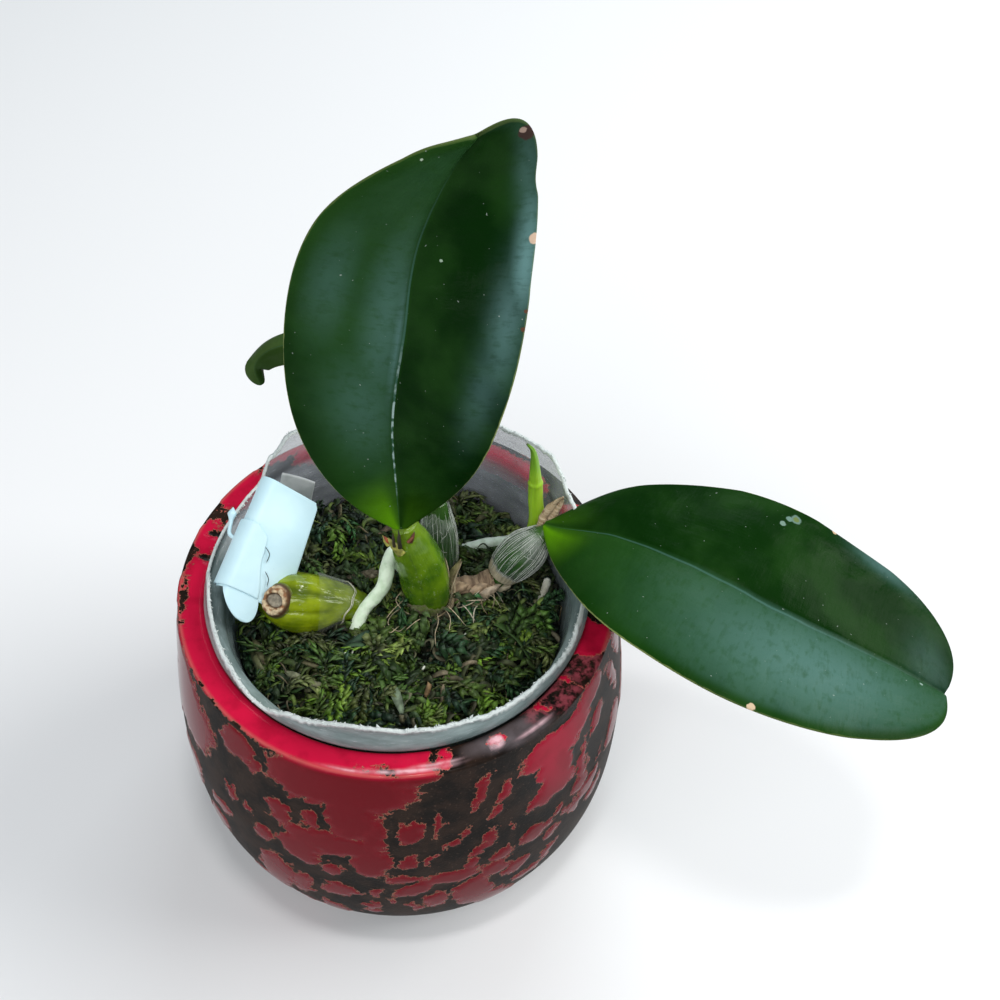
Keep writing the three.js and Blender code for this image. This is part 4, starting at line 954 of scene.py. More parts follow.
def rim_height(bearing):
    """Height of the liner's cut rim at each bearing, with the small bites of the blade"""
    edges = np.array([b for b, _ in RIM_HEIGHTS], float)
    heights = np.array([h for _, h in RIM_HEIGHTS], float)
    turned = bearing % 360
    nxt = np.clip(np.searchsorted(edges, turned, side="right"), 1, len(edges) - 1)
    share = (turned - edges[nxt - 1]) / (edges[nxt] - edges[nxt - 1])
    smooth = mix(heights[nxt - 1], heights[nxt], share * share * (3 - 2 * share))
    ring = np.stack([np.cos(np.radians(turned)), np.sin(np.radians(turned)), 0 * turned], -1) * NECK_RADIUS
    return smooth + 0.35 * grain(ring, 3.0, 3, 1.7) + 0.3 * grain(ring, 0.9, 2, 4.4)


def make_liner():
    """Tapered cup with a hand-cut rim, its wall thin and a little wavy"""
    wall = 0.8
    floor = POT_FLOOR + 0.3
    low = np.array([floor + 2, 30, 50, CUT_FROM])
    rise = np.concatenate([np.linspace(0, 0.5, 5)[1:], np.linspace(0.5, 1, 22)[1:]])
    sides = 540
    bearing = np.arange(sides) * 360 / sides
    rim = rim_height(bearing)
    ring = np.stack([np.cos(np.radians(bearing)), np.sin(np.radians(bearing))], -1)
    rows, cuts = [], []

    def row(radius, height):
        radius = np.broadcast_to(radius, (sides,))
        height = np.broadcast_to(height, (sides,))
        rows.append(np.column_stack([ring * radius[:, None], height]))
        cuts.append(rim - height)

    row(LINER_FLOOR_RADIUS - 2, floor)
    for z in low:
        row(liner_radius(z), z)
    wave = 0.25 * grain(np.column_stack([ring * 40, 0 * bearing]), 14, 2, 6.0)
    for share in rise:
        z = mix(CUT_FROM, rim, share)
        row(liner_radius(z) + wave * share + liner_bow(z), z)
    for share in rise[::-1]:
        z = mix(CUT_FROM, rim, share)
        row(liner_radius(z) - wall + wave * share + liner_bow(z), z)
    for z in low[::-1]:
        row(liner_radius(z) - wall, z)
    row(LINER_FLOOR_RADIUS - 2.4, floor + wall)
    points = np.vstack(rows + [[[0, 0, floor], [0, 0, floor + wall]]])
    cut = np.append(np.concatenate(cuts), [60, 60])
    paint = clear_paint()
    liner = make_mesh("nursery_liner", points, tube_faces(sides, len(rows)), paint, dict(cut=cut))
    place_piece(liner, "clear_plastic", "plastic_liner")
    make_burrs(bearing, rim, wall)


def make_burrs(bearing, rim, wall):
    """Crumbs and shavings that the blade left along the cut"""
    draw = random.Random(31)
    pile = Pile()
    corners = np.array([(1, 0, -0.5), (-0.5, 0.9, -0.4), (-0.5, -0.9, -0.4), (0, 0, 1)])
    faces = [[0, 2, 1], [0, 1, 3], [1, 2, 3], [2, 0, 3]]
    for _ in range(900):
        i = draw.randrange(len(bearing))
        turn = math.radians(bearing[i])
        out = np.array([math.cos(turn), math.sin(turn), 0])
        size = draw.uniform(0.12, 0.5) * draw.uniform(0.5, 1)
        spin = Matrix.Rotation(draw.uniform(0, 6.28), 3, Vector([draw.uniform(-1, 1) for _ in range(3)]))
        stretch = np.array([draw.uniform(0.7, 1.8), draw.uniform(0.5, 1), draw.uniform(0.7, 1.6)])
        crumb = (corners * stretch * size) @ np.array(spin)
        radius = float(liner_radius(rim[i]) + liner_bow(rim[i])) - wall * draw.uniform(-0.15, 1.2)
        foot = out * radius + UP * (rim[i] + draw.uniform(-0.45, 0.18))
        pile.add(crumb + foot, faces, (0.62, 0.68, 0.67))
    burrs = pile.make("liner_burrs", tinted_paint("frosted_burr", 1, 0.15, 0.8, 0.1))
    place_piece(burrs, "clear_plastic")


# Moss

def moss_relief(x, y):
    broad = np.sin(0.19 * x + 0.6) * np.cos(0.17 * y - 0.4)
    fine = np.sin(0.52 * x - 0.31 * y) * np.cos(0.43 * y + 0.27 * x + 1.1)
    drop = np.maximum(0, (np.hypot(x, y) - 33) / 9) ** 2
    return MOSS_HEIGHT + MOSS_RELIEF * (0.6 * broad + 0.4 * fine) - MOSS_EDGE_DROP * drop


def inside_liner(points):
    """Points drawn in so that they stay clear of the liner's wall"""
    radius = np.hypot(points[:, 0], points[:, 1])
    limit = liner_radius(points[:, 2]) - LINER_WALL - 0.3
    share = np.minimum(1, limit / np.maximum(radius, 1e-6))
    return points * np.stack([share, share, np.ones_like(share)], -1)


def mound(x, y):
    """How far the moss is heaped up at a place, -1 to 1"""
    return np.clip(2.2 * grain(np.array([[x, y, 0.0]]), 8.5, 2, 12.0)[0], -1, 1)


def make_moss_ground():
    """The bed under the fronds: a filled plug whose top is a crumbly dark surface"""
    wall = float(liner_radius(68.0)) - LINER_WALL - 0.4
    low = [(0, 9), (LINER_FLOOR_RADIUS - 4, 9), (liner_radius(12.0) - 1.3, 12), (wall - 0.3, 66)]
    top = [(r, MOSS_HEIGHT) for r in np.linspace(wall, 0, 52)]
    points, faces = lathe(np.array(low + top, float), 200)
    raised = points[:, 2] > MOSS_HEIGHT - 0.01
    x, y = points[raised, 0], points[raised, 1]
    crumbs = grain(points[raised], 3.4, 4, 5.0)
    points[raised, 2] = moss_relief(x, y) - 0.9 + 1.3 * crumbs
    points = inside_liner(points)
    soil = mottled_paint(
        "dark_moss_ground", [(0.004, 0.005, 0.002), (0.014, 0.02, 0.005)], (4, 5), (0.4, 0.62), (1.2, 5, 0.8),
        ((0.05, 0.04, 0.02), (1.4, 4), (0.62, 0.7)), roughness=0.95,
    )
    ground = make_mesh("moss_ground", points, faces, soil)
    place_piece(ground, "moss", "moss_bed")


def wander(foot, turn, length):
    """A level path from a foot, one equal step along each heading of turn"""
    steps = np.stack([np.cos(turn), np.sin(turn), 0 * turn], -1)
    return np.array([foot[0], foot[1], 0]) + length / len(turn) * np.cumsum(steps, 0)


LEAFLET_FACES = np.array([(0, 1, 2), (1, 3, 2), (0, 4, 1), (0, 2, 4), (1, 4, 3), (2, 3, 4)])


def frond(draw, foot, heading, length, pitch, curl, size, nodes):
    """A curved moss sprig with a pair of small keeled leaves at each node"""
    share = np.linspace(0, 1, nodes)
    turn = heading + curl * share**1.5
    climb = np.radians(mix(pitch, -38 - 0.3 * pitch, share))
    step = length / nodes
    line = np.zeros((nodes, 3))
    line[:, 0] = foot[0] + step * np.cumsum(np.cos(turn) * np.cos(climb))
    line[:, 1] = foot[1] + step * np.cumsum(np.sin(turn) * np.cos(climb))
    ground = moss_relief(line[:, 0], line[:, 1])
    line[:, 2] = ground[0] + foot[2] + step * np.cumsum(np.sin(climb))
    line[:, 2] = np.maximum(line[:, 2], ground - 0.6)
    along = unit(np.gradient(line, axis=0))
    side = unit(np.cross(along, UP))
    roll = draw.uniform(-0.6, 0.6) + 0.5 * np.sin(3 * share + heading)
    lifted = np.cross(side, along)
    side, lifted = side * np.cos(roll)[:, None] + lifted * np.sin(roll)[:, None], \
        lifted * np.cos(roll)[:, None] - side * np.sin(roll)[:, None]
    blades = []
    taper = size * (0.5 + 0.5 * np.sin(math.pi * (0.12 + 0.8 * share)))
    for hand in (-1, 1):
        lean = np.radians(np.array([draw.uniform(22, 82) for _ in range(nodes)]))[:, None]
        raised = np.array([draw.uniform(-0.2, 0.95) for _ in range(nodes)])[:, None]
        s = (taper * np.array([draw.uniform(0.7, 1.25) for _ in range(nodes)]))[:, None]
        out = unit(hand * side + lifted * raised)
        aim = unit(along * np.cos(lean) + out * np.sin(lean))
        wide = unit(np.cross(aim, lifted))
        norm = unit(np.cross(wide, aim))
        middle = line + aim * s * 0.48 + norm * s * 0.1
        tip = line + aim * s * 0.95 + along * s * 0.22 - norm * s * 0.22
        keel = line + aim * s * 0.45 - norm * s * 0.1
        blades.append(np.stack([line, middle + wide * s * 0.24, middle - wide * s * 0.24, tip, keel], 1))
    points = np.concatenate(blades).reshape(-1, 3)
    faces = (LEAFLET_FACES[None] + 5 * np.arange(2 * nodes)[:, None, None]).reshape(-1, 3)
    # Tint painted darker at each leaf's foot and keel and at the sprig's foot, lighter towards the tips:
    # painted shade and light
    painted_light = np.tile(np.array([0.25, 0.9, 0.9, 1.7, 0.3]), 2 * nodes)
    painted_light *= np.tile(np.repeat(0.3 + 1.2 * share, 5), 2)
    return points, faces, painted_light


def make_moss_fronds(name, seed, count, tones, size, length, pitch, paint, where=None):
    """Sprigs strewn over the bed, each with a tone of its own"""
    draw = random.Random(seed)
    pile = Pile()
    while count:
        reach = 43 * math.sqrt(draw.random())
        bearing = draw.uniform(0, 2 * math.pi)
        x, y = reach * math.cos(bearing), reach * math.sin(bearing)
        if where and draw.random() > where(x, y):
            continue
        heap = mound(x, y)
        if draw.random() > 1.1 + 1.6 * heap:
            continue
        count -= 1
        foot = (x, y, draw.uniform(-1.2, 0.6) + 1.8 * heap)
        # Sprigs in the hollows are painted darker and those on the heaps lighter: painted shade and light
        tone = np.array(draw.choice(tones)) * draw.uniform(0.7, 1.3) * (0.7 + 0.5 * heap)
        heading = draw.uniform(0, 2 * math.pi)
        far = draw.uniform(*length)
        if reach > 36:
            heading = bearing + math.pi + draw.uniform(-1.4, 1.4)
        points, faces, painted_light = frond(
            draw, foot, heading, far, draw.uniform(*pitch), draw.uniform(-2.6, 2.6), draw.uniform(*size),
            int(far / 0.8) + 2,
        )
        pile.add(inside_liner(points), faces, tone[None] * painted_light[:, None])
    place_piece(pile.make(name, paint), "moss")


def bright_patch(x, y):
    """Where the freshest moss grows: the front of the bed and the patch left of centre"""
    front = math.exp(-(((x + 4) / 22) ** 2) - ((y + 34) / 13) ** 2)
    middle = math.exp(-(((x + 2) / 7) ** 2) - ((y + 14) / 7) ** 2)
    return 0.12 + 0.88 * max(front, middle)


def ribbon(foot, heading, curl, length, width, lift, crimp, phase):
    """A flat curled shred, its edges closed"""
    share = np.linspace(0, 1, 18)
    turn = heading + curl * share
    line = wander(foot, turn, length)
    wave = lift * np.sin(math.pi * np.minimum(1, 0.12 + 0.8 * share)) + crimp * np.sin(8 * share + phase)
    line[:, 2] = moss_relief(line[:, 0], line[:, 1]) + 0.4 + wave
    along = unit(np.gradient(line, axis=0))
    side = unit(np.cross(along, UP))
    lifted = np.cross(side, along)
    tilt = (0.7 * np.sin(2.6 * share + phase))[:, None]
    side, lifted = side * np.cos(tilt) + lifted * np.sin(tilt), lifted * np.cos(tilt) - side * np.sin(tilt)
    half = (width / 2 * np.sin(math.pi * (0.1 + 0.84 * share)) ** 0.6)[:, None]
    rows = [line - side * half + lifted * 0.25 * half, line + lifted * 0.12,
            line + side * half + lifted * 0.25 * half, line - lifted * 0.12]
    points = np.stack(rows, 1).reshape(-1, 3)
    return np.vstack([points, line[:1], line[-1:]]), tube_faces(4, 18)


# Single shreds that can be told apart: foot, heading, curl, length, width, lift and tone
SHREDS = [
    ((22, -3), -0.55, -0.5, 20, 3.6, 2.6, (0.035, 0.085, 0.012)),
    ((24, -1), -0.45, -0.6, 17, 2.6, 2.2, (0.05, 0.12, 0.02)),
    ((-0.6, -22), -1.35, 0.3, 13, 2.5, 2.4, (0.14, 0.19, 0.12)),
    ((-3, -21), -1.5, 0.5, 9, 2.0, 2.8, (0.06, 0.13, 0.02)),
    ((-37, -10), -1.0, -0.3, 11, 2.2, 2.4, (0.13, 0.13, 0.06)),
    ((-36, -14), -1.35, 0.6, 10, 2.0, 3.0, (0.11, 0.12, 0.05)),
    ((-27, -20), -1.2, 1.6, 7, 1.7, 2.2, (0.16, 0.17, 0.1)),
    ((-30, -18), 0.2, -1.2, 8, 1.6, 2.0, (0.05, 0.08, 0.02)),
    ((44.5, -8), -1.7, 0.2, 9, 1.3, 1.6, (0.17, 0.065, 0.02)),
    ((-14, -15), 0.35, 0.6, 12, 2.2, 3.2, (0.015, 0.045, 0.02)),
    ((-15, -18), 0.9, -0.9, 10, 1.8, 3.0, (0.02, 0.055, 0.02)),
    ((-3, -5), -1.5, 0.2, 8, 3.0, 1.6, (0.15, 0.12, 0.06)),
    ((2, -8), -1.9, 0.6, 8, 2.2, 2.4, (0.13, 0.17, 0.03)),
    ((9, -20), -0.5, 1.4, 9, 1.7, 2.4, (0.22, 0.18, 0.11)),
    ((11, -22), -0.9, -1.1, 8, 1.3, 2.2, (0.26, 0.2, 0.13)),
    ((14, -18), -0.3, 0.9, 9, 1.1, 2.6, (0.2, 0.16, 0.1)),
    ((8, -27), 0.8, 1.2, 5, 1.5, 2.6, (0.24, 0.15, 0.07)),
    ((32, 3), -0.9, 0.5, 9, 1.6, 2.0, (0.1, 0.1, 0.06)),
    ((39, -4), -1.2, 0.6, 8, 1.3, 2.0, (0.12, 0.11, 0.07)),
    ((-8, 24), 0.4, -0.8, 8, 1.8, 2.2, (0.16, 0.12, 0.08)),
    ((18, 29), 0.1, 0.9, 8, 1.8, 2.6, (0.12, 0.12, 0.06)),
    ((24, 31), 0.5, -0.9, 7, 1.6, 2.6, (0.1, 0.11, 0.05)),
]
SHRED_TONES = [
    (0.07, 0.085, 0.03), (0.11, 0.1, 0.05), (0.03, 0.07, 0.015), (0.15, 0.15, 0.08), (0.07, 0.13, 0.02),
    (0.15, 0.23, 0.04), (0.05, 0.1, 0.03), (0.11, 0.17, 0.035), (0.02, 0.06, 0.025),
]
SHRED_COUNT = 820
STALK_COUNT = 90
FLECKS = [(-12.3, -17.4), (-10.6, -16.6), (7, -19.3), (12.4, -36.4), (16.5, -9.6), (-8, -29), (29.5, -5.8)]


def make_moss_litter():
    """Leaf shreds, dry stalks and pale flecks among the sprigs"""
    draw = random.Random(77)
    pile = Pile()
    for foot, heading, curl, length, width, lift, tone in SHREDS:
        points, faces = ribbon(foot, heading, curl, length, width, lift + 1.2, 0.35, 2 * foot[0])
        pile.add(inside_liner(points), faces, np.array(tone))
    for _ in range(SHRED_COUNT):
        reach, bearing = 41 * math.sqrt(draw.random()), draw.uniform(0, 2 * math.pi)
        x, y = reach * math.cos(bearing), reach * math.sin(bearing)
        heap = mound(x, y)
        points, faces = ribbon(
            (x, y), draw.uniform(0, 6.28), draw.uniform(-4.5, 4.5), draw.uniform(3, 9),
            draw.uniform(0.8, 2.1), draw.uniform(0.6, 3.4) + 1.2 * heap, 0.6, draw.uniform(0, 6),
        )
        # Shreds in the hollows are painted darker and those on the heaps lighter: painted shade and light
        tone = np.array(draw.choice(SHRED_TONES)) * draw.uniform(0.5, 1.2) * (0.8 + 0.4 * heap)
        pile.add(inside_liner(points), faces, tone[None] * np.linspace(0.5, 1.3, len(points))[:, None])
    for _ in range(STALK_COUNT):
        reach, bearing = 40 * math.sqrt(draw.random()), draw.uniform(0, 2 * math.pi)
        heading, curl, length = draw.uniform(0, 6.28), draw.uniform(-3, 3), draw.uniform(4, 11)
        share = np.linspace(0, 1, 14)
        foot = (reach * math.cos(bearing), reach * math.sin(bearing))
        line = wander(foot, heading + curl * share, length)
        wave = draw.uniform(1.5, 3.6) * np.sin(math.pi * share) + 0.5 * np.sin(9 * share + heading)
        line[:, 2] = moss_relief(line[:, 0], line[:, 1]) + wave
        points, faces = thread(inside_liner(line), draw.uniform(0.1, 0.22))
        pile.add(points, faces, np.array((0.2, 0.16, 0.09)) * draw.uniform(0.4, 1.2))
    for x, y in FLECKS:
        lean = draw.uniform(-0.5, 0.5)
        line = np.array([(x, y, 0), (x + 0.3 + lean, y + 0.6, 0.4), (x + 0.5 + lean, y + 1.2, 0.1)], float)
        line[:, 2] += moss_relief(x, y) + 3.2
        points, faces = thread(Spine(line).line[::12], draw.uniform(0.2, 0.34), 6)
        pile.add(points, faces, np.array((0.75, 0.78, 0.66)) * draw.uniform(0.6, 1))
    litter = pile.make("moss_litter", tinted_paint("dry_litter", 1.5, 0.4, 0.7, 0.12))
    place_piece(litter, "moss")


def make_moss():
    make_moss_ground()
    paint = tinted_paint("moss_frond", 1.6, 0.35, 0.55, 0.06, subsurface_weight=0.1, subsurface_scale=0.3,
                         subsurface_radius=(0.001, 0.0015, 0.0005))
    dark = [(0.022, 0.052, 0.009), (0.035, 0.065, 0.015), (0.06, 0.078, 0.018), (0.016, 0.05, 0.022)]
    mid = [(0.055, 0.12, 0.018), (0.085, 0.15, 0.022), (0.12, 0.15, 0.045), (0.03, 0.1, 0.03)]
    bright = [(0.14, 0.27, 0.02), (0.18, 0.3, 0.03), (0.2, 0.28, 0.06), (0.11, 0.22, 0.024)]
    make_moss_fronds("moss_dark", 5, 250, dark, (2.6, 4.4), (9, 17), (5, 55), paint)
    make_moss_fronds("moss_mid", 6, 250, mid, (2.4, 4), (8, 15), (15, 70), paint)
    make_moss_fronds("moss_bright", 7, 200, bright, (2.2, 3.4), (6, 12), (25, 80), paint, bright_patch)
    make_moss_litter()


# Leaves

def leaf_surface(shape, sides, steps, relief):
    """The blade as two skins on a midrib, with its fields"""
    spine = Spine(shape["spine"], shape["facing"])
    to_base, to_tip = shape["fullness"]
    peak = to_base / (to_base + to_tip)
    fullest = peak**to_base * (1 - peak) ** to_tip
    fields = {}

    def spot(angle, step, reach):
        t = 0.5 - 0.5 * np.cos(math.pi * mix(0.004, 0.985, step))
        outline = t**to_base * (1 - t) ** to_tip / fullest
        right = np.sin(angle) >= 0
        side = np.where(right, 1.0, -1.0)
        spread = np.abs(np.sin(angle)) * reach
        lobe = np.where(right, shape["lobe"][1], shape["lobe"][0])
        half_width = np.where(right, shape["half_width"][1], shape["half_width"][0])
        late = np.where((t > peak) & (outline < LEAF_LOBE), (1 - outline / LEAF_LOBE) ** 2, 0)
        edge = t * lobe - (lobe - 1) * late
        origin, _, out, across = spine.axes(mix(t, edge, spread**1.5))
        twist = np.radians(through(shape["twist"], t))[:, None]
        normal = out * np.cos(twist) + across * np.sin(twist)
        level = across * np.cos(twist) - out * np.sin(twist)
        left_fold, right_fold = (through(fold, t) for fold in shape["fold"])
        fold = np.radians(np.where(right, right_fold, left_fold))
        full = np.hypot(half_width * outline, shape["neck"] * (1 - t) ** 4)
        width = full * spread
        origin = origin + level * (side * width * np.cos(fold))[:, None]
        origin = origin + normal * (width * np.sin(fold) - LEAF_CUP * width**2 / half_width)[:, None]
        face = np.cos(angle)
        under = face < 0
        rib = np.where(under, LEAF_RIB * (1 - t) ** 1.2 * np.maximum(0, 1 - spread * 4), 0)
        groove = np.where(under, 0, -0.45 * np.exp(-((width / 0.8) ** 2)) * smoothstep(0.02, 0.12, t))
        half = (LEAF_THICKNESS / 2 + LEAF_STALK * (1 - t) ** 30) * np.abs(face) ** 0.5 + rib + groove
        blade = normal * np.cos(fold)[:, None] - level * (side * np.sin(fold))[:, None]
        # Patches of painted sheen and of painted shade, each kept to its own half of the blade
        bloom, shade = np.zeros_like(t), np.zeros_like(t)
        for patches, layer in ((shape["bloom"], bloom), (shape["shade"], shade)):
            for at, beside, long, wide, strength in patches:
                patch = np.exp(-(((t - at) / long) ** 2) - ((side * spread - beside) / wide) ** 2)
                np.maximum(layer, strength * patch * (side * beside > 0), out=layer)
        # Which half is painted paler as if lit, dimmed again where painted shade lies
        lit = smoothstep(-0.02, 0.02, side * spread * shape["lit"])
        bloom = bloom * np.where(under, 0, smoothstep(0.5, 3.5, full - width + np.where(lit > 0.5, 0, 3)))
        gold = smoothstep(0.19, 0.04, t + 0.09 * spread) * mix(0.25, 1, smoothstep(0.05, 0.3, spread))
        # The gold at the base is painted dimmer on the shaded half
        gold = gold * mix(0.2, 1, lit)
        fields.update(along=t, across=side * spread, margin=full - width, under=under * 1.0, bloom=bloom,
                      lit=lit * (1 - shade), gold=gold)
        ripple = relief * grain(origin, 9, 3, 2.0) * np.minimum(1, (full - width) / 3)
        return origin + blade * (np.sign(face) * half * reach + ripple)[:, None]

    points, faces, _ = skin(sides, steps, spot)
    return points, faces, fields, spine.length


def make_leaf(name, shape, node, tones, relief=0.35, sides=132, steps=190, marks=()):
    """A leaf, with marks given as share along, share across, radius, hollow core and colour"""
    points, faces, fields, length = leaf_surface(shape, sides, steps, relief)
    half_width = shape["half_width"][0]
    spots = []
    for along, across, radius, core, color in marks:
        miss = np.abs(fields["along"] - along) * length + np.abs(fields["across"] - across) * half_width
        spots.append((points[np.argmin(miss + 99 * fields["under"])], radius, core, color))
    paint = leaf_paint(name + "_green", half_width, length, tones, shape["dashed"], spots)
    place_piece(make_mesh(name, points, faces, paint, fields), "leaf", node)


# Bulbs, sleeves, roots and stems

SLEEVE_THICKNESS = 0.14


def furrow(shape, t, angle):
    """How deep the creases along a shrunken bulb are at each place"""
    depth = 0 * angle
    for at, drift, cut in shape.get("furrows", ()):
        off = (angle - at - drift * t + math.pi) % (2 * math.pi) - math.pi
        wide = 0.17 + 0.09 * np.sin(5 * t + 9 * at)
        depth = depth + cut * np.exp(-((off / wide) ** 2)) * np.sin(math.pi * np.clip(1.3 * t, 0, 1))
    return depth


def bulb_width(shape):
    run = smooth_run(shape["radii"])
    depth, flutes = shape["depth"], shape["flutes"]

    def width(t, angle):
        body = run(t) * (1 + depth * np.cos(flutes * angle + 0.7) * np.sin(math.pi * t))
        return body - furrow(shape, t, angle)

    return width


def make_bulb(name, shape, node, paint, relief=0.12):
    points, faces, fields = stem(shape, bulb_width(shape), 72, 90)
    # Furrow depth, which paints shade into the furrows
    fields["furrow_shade"] = furrow(shape, fields["along"], fields["around"])
    points = roughen(points, 5, relief, 2.2)
    place_piece(make_mesh(name, points, faces, paint, fields), "bulb_skin", node)


def make_sleeve(name, shape, start, end, node, paint, slot, gap=0.45, frill=0.05, teeth=0.04):
    """A papery sleeve round a bulb, open at both ends, its upper edge torn"""
    spine = Spine(shape["points"], shape["facing"])
    width = bulb_width(shape)
    sides, steps = 108, 36
    angle, t = ring_grid(sides, steps)
    ring = np.stack([np.cos(angle), np.sin(angle), 0 * angle], -1)
    torn = frill * np.cos(3 * angle + 0.8) + teeth * grain(ring, 0.35, 3, start * 9)
    share = mix(start, end, t) + torn * t
    held = np.clip(share, 0, 1)
    pleat = 0.1 * np.cos(26 * angle + 3 * np.sin(5 * t))
    pleat = pleat + 0.14 * grain(ring * 3 + t[:, None] * 2, 1.1, 3, 7.7)
    flare = 0.18 * smoothstep(0.85, 1, t) * (1 + np.cos(2 * angle + 1))
    loose = width(held, angle) + gap + pleat + flare
    shells = [spine.around(share, angle, loose + thick) for thick in (SLEEVE_THICKNESS, 0)]
    count, top = len(angle), steps * sides
    j = np.arange(sides)
    k = (j + 1) % sides
    faces = wall_faces(sides, steps + 1) + [face[::-1] for face in wall_faces(sides, steps + 1, count)]
    faces += np.stack([top + j, top + k, count + top + k, count + top + j], 1).tolist()
    faces += np.stack([k, j, count + j, count + k], 1).tolist()
    fields = dict(around=np.tile(angle, 2), along=np.tile(t, 2))
    piece = make_mesh(name, np.vstack(shells), faces, paint, fields)
    place_piece(piece, slot, node)


def make_veins(name, shape, start, end, count, seed, ties, gap=0.62):
    """Fine white veins raised on a sleeve, running down from its upper edge, and ties across them"""
    draw = random.Random(seed)
    spine = Spine(shape["points"], shape["facing"])
    width = bulb_width(shape)
    pile = Pile()

    def strand(share, angle, radius):
        line = spine.around(share, angle, width(np.clip(share, 0, 1), angle) + gap)
        points, faces = thread(line, radius, 4)
        pile.add(points, faces, np.array((0.66, 0.7, 0.64)) * draw.uniform(0.75, 1.15))

    for k in range(count):
        t = np.linspace(0, 1, 32)
        share = mix(end, start + draw.uniform(0, 0.25) * (end - start), t)
        angle = 2 * math.pi * (k + draw.uniform(-0.4, 0.4)) / count + draw.uniform(-0.15, 0.15) * t**2
        strand(share, angle + 0.02 * np.sin(9 * t + k), draw.uniform(0.03, 0.065))
    for _ in range(ties):
        t = np.linspace(0, 1, 16)
        top = end - draw.uniform(0, 0.5) * (end - start)
        share = mix(top, top - draw.uniform(0.02, 0.25) * (end - start), t)
        angle = draw.uniform(0, 6.28) + draw.uniform(-0.9, 0.9) * t + 0.05 * np.sin(14 * t)
        strand(share, angle, draw.uniform(0.03, 0.06))
    place_piece(pile.make(name, tinted_paint("white_vein", 1.0, 0.15, 0.5, 0.02)), "papery_sheath")


def make_rims():
    """The pale torn edge of the film on the cut bulb"""
    pile = Pile()
    spine = Spine(CUT_BULB["points"], CUT_BULB["facing"])
    width = bulb_width(CUT_BULB)
    for shift, gap, radius in ((0, 0.7, 0.11), (0.012, 0.66, 0.06)):
        angle = np.linspace(-2.6, 2.6, 90)
        share = 0.83 + shift + 0.03 * np.cos(2 * angle + 0.8) + 0.008 * np.sin(7 * angle + 9 * shift)
        points, faces = thread(spine.around(share, angle, width(share, angle) + gap), radius, 5)
        pile.add(points, faces, (0.62, 0.6, 0.5))
    place_piece(pile.make("film_edge", tinted_paint("film_edge", 1.0, 0.25, 0.6, 0.03)), "papery_sheath")


def flake(foot, tip, half, cup, facing, bulge=0.0):
    """A thin pointed scale from foot to tip, cupped round its length, with closed edges"""
    foot, tip = np.array(foot, float), np.array(tip, float)
    share = np.linspace(0, 1, 16)[:, None]
    normal = unit(facing)
    line = mix(foot, tip, share) + normal * bulge * np.sin(math.pi * share)
    side = unit(np.cross(tip - foot, normal))
    normal = np.cross(side, unit(tip - foot))
    width = half * (np.cos(math.pi / 2 * share**1.6) * 0.96 + 0.04)
    cups = normal * cup * width / half
    rows = [line + side * width * k - cups * k**2 for k in (-1, -0.5, 0, 0.5, 1)]
    rows += [row - normal * 0.22 for row in rows[::-1]]
    points = np.stack(rows, 1).reshape(-1, 3)
    return np.vstack([points, line[:1], line[-1:]]), tube_faces(10, 16)


RUST, DARK_SCALE, STRAW, TAN = (0.3, 0.07, 0.025), (0.09, 0.022, 0.012), (0.3, 0.3, 0.06), (0.34, 0.24, 0.15)
# Scales: foot, tip, half width, cup, tone and bulge
NECK_SCALES = [
    ((-1.2, -1.2, 101.4), (-2.9, -0.4, 103.4), 0.5, 0.2, RUST, 0.2),
    ((-1.6, -1.0, 100.2), (-3.2, 0.4, 102.6), 0.6, 0.2, STRAW, 0.2),
    ((3.6, -1.0, 101.6), (4.6, 0.2, 104.6), 0.5, 0.3, DARK_SCALE, 0.2),
    ((3.0, -1.4, 102.2), (4.4, -0.4, 103.6), 0.4, 0.2, (0.16, 0.05, 0.02), 0.1),
    ((1.6, -2.3, 98.2), (-1.8, -1.0, 103.4), 1.1, 0.5, STRAW, 0.4),
    ((1.2, -2.4, 101), (0.9, -0.9, 106.4), 0.5, 0.2, (0.02, 0.018, 0.006), 0.4),
    ((-0.2, -2.2, 101.2), (-0.6, -0.8, 105.2), 0.4, 0.2, (0.03, 0.022, 0.008), 0.3),
]
RHIZOME_HUSKS = [
    ((12.5, 3.0, 76), (17.6, 3.4, 80), 1.8, 1.4, TAN, 0.4),
    ((14.5, 2.4, 75.4), (22.6, 4.4, 79), 2.4, 2.0, TAN, 0.5),
    ((18.5, 2.6, 75), (26.0, 4.4, 79), 2.0, 1.7, (0.4, 0.32, 0.23), 0.7),
    ((12.0, 4.6, 78.4), (15.6, 6.4, 86.4), 1.0, 0.5, (0.3, 0.25, 0.13), 0.4),
    ((10.6, 3.4, 74), (17, 1.2, 76.4), 1.5, 0.8, (0.24, 0.15, 0.09), 0.6),
    ((25.0, 4.8, 76.4), (28.6, 4.4, 78.6), 1.0, 0.9, (0.3, 0.26, 0.18), 0.4),
]


def make_scales():
    """Brown scales in the neck between bulb and leaf, and the tan husks along the rhizome"""
    pile = Pile()
    for scales, facing, size, shift in ((NECK_SCALES, (0, -1, 0.5), 1.5, 3.0),
                                        (RHIZOME_HUSKS, (0.1, -0.7, 1), 2.2, 5.0)):
        for foot, tip, half, cup, tone, bulge in scales:
            points, faces = flake(foot, tip, half, cup, facing, bulge)
            pile.add(roughen(points, size, 0.1, shift), faces, tone)
    place_piece(pile.make("dry_scales", tinted_paint("dry_scale", 1.6, 0.4, 0.55, 0.1)), "dry_fibre")


